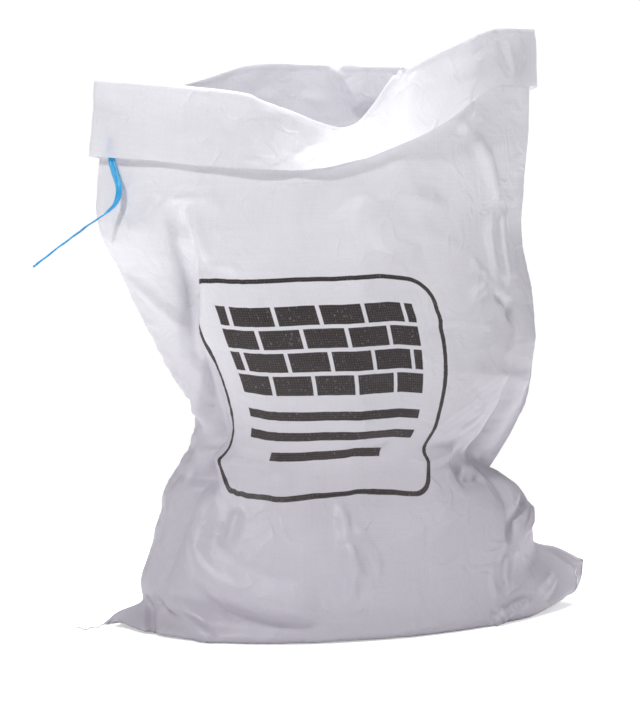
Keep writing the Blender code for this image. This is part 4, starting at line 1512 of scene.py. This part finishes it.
        def read(a: np.ndarray) -> np.ndarray:
            """One array between its two rows and columns."""
            first = a[low, j] * (1 - f) + a[low, k] * f
            second = a[low + 1, j] * (1 - f) + a[low + 1, k] * f
            return first * (1 - share) + second * share

        normal = read(normals)
        return read(self.points), normal / np.linalg.norm(normal, axis=1, keepdims=True)


def frames_along(path: np.ndarray, across: np.ndarray) -> tuple[np.ndarray, np.ndarray, np.ndarray]:
    """The unit directions along a path, across it as near as can be to the given ones, and the third."""
    along = np.gradient(path, axis=0)
    along /= np.linalg.norm(along, axis=1, keepdims=True)
    side = across - along * (across * along).sum(axis=1, keepdims=True)
    side /= np.linalg.norm(side, axis=1, keepdims=True)
    return along, side, np.cross(along, side)


def carried(name: str, path: np.ndarray, section: np.ndarray, frames: tuple, uv: str) -> bpy.types.Object:
    """A closed profile carried along a path, with flat ends and a UV map in metres.

    Args:
        name: the object's name.
        path: the points of the path.
        section: for each point of the path, the profile's points as pairs across and up.
        frames: the directions along, across and up at each point of the path.
        uv: the name of the UV map, whose x runs along the path and y round the profile.

    Returns:
        The object.
    """
    _, side, lift = frames
    count, sides = section.shape[:2]
    ring = path[:, None] + side[:, None] * section[..., :1] + lift[:, None] * section[..., 1:]
    number = np.arange(count * sides).reshape(count, sides)
    ahead = np.roll(number, -1, axis=1)
    faces = np.stack([number[:-1], number[1:], ahead[1:], ahead[:-1]], axis=-1).reshape(-1, 4)
    vertices = np.concatenate([ring.reshape(-1, 3), [path[0], path[-1]]])
    first, last = len(vertices) - 2, len(vertices) - 1
    k = np.arange(0, sides, 2)
    near = np.stack([np.full(len(k), first), k, (k + 1) % sides, (k + 2) % sides], axis=1)
    start = (count - 1) * sides
    far = np.stack([np.full(len(k), last), start + (k + 2) % sides, start + (k + 1) % sides, start + k], axis=1)
    made = mesh_object(name, vertices, np.concatenate([faces, near, far]))
    steps = np.linalg.norm(np.diff(path, axis=0), axis=1)
    along = np.concatenate([[0.0], np.cumsum(steps)])
    closed = np.concatenate([section, section[:, :1]], axis=1)
    round_ = np.cumsum(np.linalg.norm(np.diff(closed, axis=1), axis=2), axis=1)
    round_ = np.concatenate([np.zeros((count, 1)), round_], axis=1)
    place = np.stack([np.broadcast_to(along[:, None], round_.shape), round_], axis=-1)
    corners = np.stack([place[:-1, :-1], place[1:, :-1], place[1:, 1:], place[:-1, 1:]], axis=2).reshape(-1, 2)
    ends = np.zeros((4 * 2 * len(k), 2))
    ends[len(ends) // 2 :, 0] = along[-1]
    put_uv(made, uv, np.concatenate([corners, ends]))
    return made


@dataclass
class TieTape:
    """The blue film tie that hangs out from under the cuff.

    Attributes:
        route: its middle line, as in the CAD model, from inside the cuff to its loose end.
        across: the direction of its width at each point of the route.
        width: the width of the film, which is its diameter as a cord.
        thickness: the thickness of the film, with its small crumples.
        steps: points along it.
    """

    sizes: SackSizes
    route: tuple[Point, ...] = (
        (-0.2620, -0.0143, 0.5160),
        (-0.2632, -0.0150, 0.4970),
        (-0.2615, -0.0230, 0.4820),
        (-0.2590, -0.0330, 0.4670),
        (-0.2620, -0.0365, 0.4520),
        (-0.2711, -0.0360, 0.4410),
        (-0.2817, -0.0330, 0.4335),
        (-0.2961, -0.0290, 0.4234),
        (-0.3217, -0.0245, 0.4040),
        (-0.3472, -0.0200, 0.3845),
    )
    across: tuple[Point, ...] = (
        (0.70, -0.70, 0.0),
        (0.70, -0.70, 0.0),
        (0.80, -0.60, 0.1),
        (0.80, -0.50, 0.3),
        (0.60, -0.60, 0.5),
        (0.40, -0.80, 0.4),
        (0.20, -0.90, 0.3),
        (0.15, -0.95, 0.3),
        (0.15, -0.95, 0.3),
        (0.15, -0.95, 0.3),
    )
    width: float = 0.0075
    thickness: float = 0.00035
    steps: int = 160

    def path(self) -> np.ndarray:
        """The tie's middle line in the frame of the CAD model."""
        return smooth_through(self.route, self.steps) + np.asarray(self.sizes.to_frame)

    def build(self, finish: bpy.types.Material) -> bpy.types.Object:
        """The tie as a film that is crumpled lengthwise, more so towards its loose end.

        The section is a flat strip bent to a V whose opening closes along the tie, with a small wave on
        top of it.
        """
        path = self.path()
        frames = frames_along(path, smooth_through(self.across, self.steps))
        t = np.linspace(0, 1, self.steps)[:, None]
        e = np.linspace(-1, 1, 9)[None]
        wave = 0.00035 * np.sin(40 * t + 5 * e) * np.sin(17 * t)
        open_ = 1 - 0.62 * smoothstep(0.30, 0.62, t)
        wide = self.width / 2 * e * open_
        deep = self.width / 2 * np.abs(e) * 0.42 * np.sqrt(np.clip(1 - open_**2, 0, 1)) + wave
        deep = deep - deep.mean(axis=1, keepdims=True)
        under = np.stack([wide, deep - self.thickness / 2], axis=-1)
        over = np.stack([wide, deep + self.thickness / 2], axis=-1)[:, ::-1]
        section = np.concatenate([under, over], axis=1)
        made = carried("tie_film", path, section, frames, "film")
        made.data.materials.append(finish)
        return made


@dataclass
class HemThread:
    """The thread that closes the bottom hem, as a row of chain stitches on the cloth.

    Attributes:
        diameter: the thread's thickness.
        stitch: the length of one stitch.
        wander: how far the thread goes to each side within a stitch.
        row: the row of the cloth's grid that it follows.
        tail: the loose end at the left corner, from its tip, in the frame of the sack's sizes.
    """

    diameter: float = 0.0012
    stitch: float = 0.009
    wander: float = 0.0014
    row: float = 3.0
    tail: tuple[Point, ...] = (
        (-0.3040, -0.0150, 0.0030),
        (-0.2950, -0.0135, 0.0012),
        (-0.2840, -0.0125, 0.0018),
    )

    def build(self, cloth: SackCloth, finish: bpy.types.Material) -> bpy.types.Object:
        """The thread along the front of the hem, on the outside of the cloth."""
        first, last = 0.012, cloth.sizes.flat_width - 0.012
        count = int((last - first) / 0.0012)
        u = np.linspace(first, last, count)
        line, normal = cloth.at(u, self.row)
        loose = np.asarray(self.tail) + np.asarray(cloth.sizes.to_frame)
        loose = smooth_through(np.vstack([loose, line[:1]]), 28)[:-1]
        line = np.vstack([loose, line])
        normal = np.vstack([np.tile((0.0, -0.5, 0.87), (len(loose), 1)), normal])
        across = np.gradient(line, axis=0)
        across = np.cross(normal, across / np.linalg.norm(across, axis=1, keepdims=True))
        count = len(line)
        turn = 2 * np.pi * np.arange(count) * 0.0012 / self.stitch
        path = line + across * (self.wander * np.sin(turn))[:, None]
        path += normal * (self.diameter * (0.40 + 0.12 * np.cos(turn)))[:, None]
        path[:, 2] = np.maximum(path[:, 2], self.diameter / 2)
        frames = frames_along(path, across)
        angle = np.linspace(0, 2 * np.pi, 8, endpoint=False)
        section = np.stack([np.cos(angle), np.sin(angle)], axis=-1) * self.diameter / 2
        section = np.broadcast_to(section, (count, 8, 2))
        made = carried("hem_stitches", path, section, frames, "twist")
        made.data.materials.append(finish)
        log.info("hem stitches: %.2f m of thread", float(np.linalg.norm(np.diff(path, axis=0), axis=1).sum()))
        return made


def main() -> None:
    """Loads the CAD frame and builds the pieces."""
    logging.basicConfig(level=logging.INFO, format="%(message)s")
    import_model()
    studio = Studio()
    studio.build_camera()
    effects = Effects(Weave().group, Grain().group)
    cloth = SackCloth()
    tie = TieTape(cloth.sizes).build(FilmTape().build(effects))
    sack = cloth.build(WovenFabric().build(effects, BrickPanel()))
    thread = HemThread().build(cloth, SewingThread().build(effects))
    for piece, node, slot in (
        (sack, "sack", "woven_white"),
        (tie, "tie_tape", "tie_blue"),
        (thread, "hem_thread", "thread_white"),
    ):
        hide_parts(node)
        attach(piece, "root")
    studio.build()


if __name__ == "__main__":
    main()
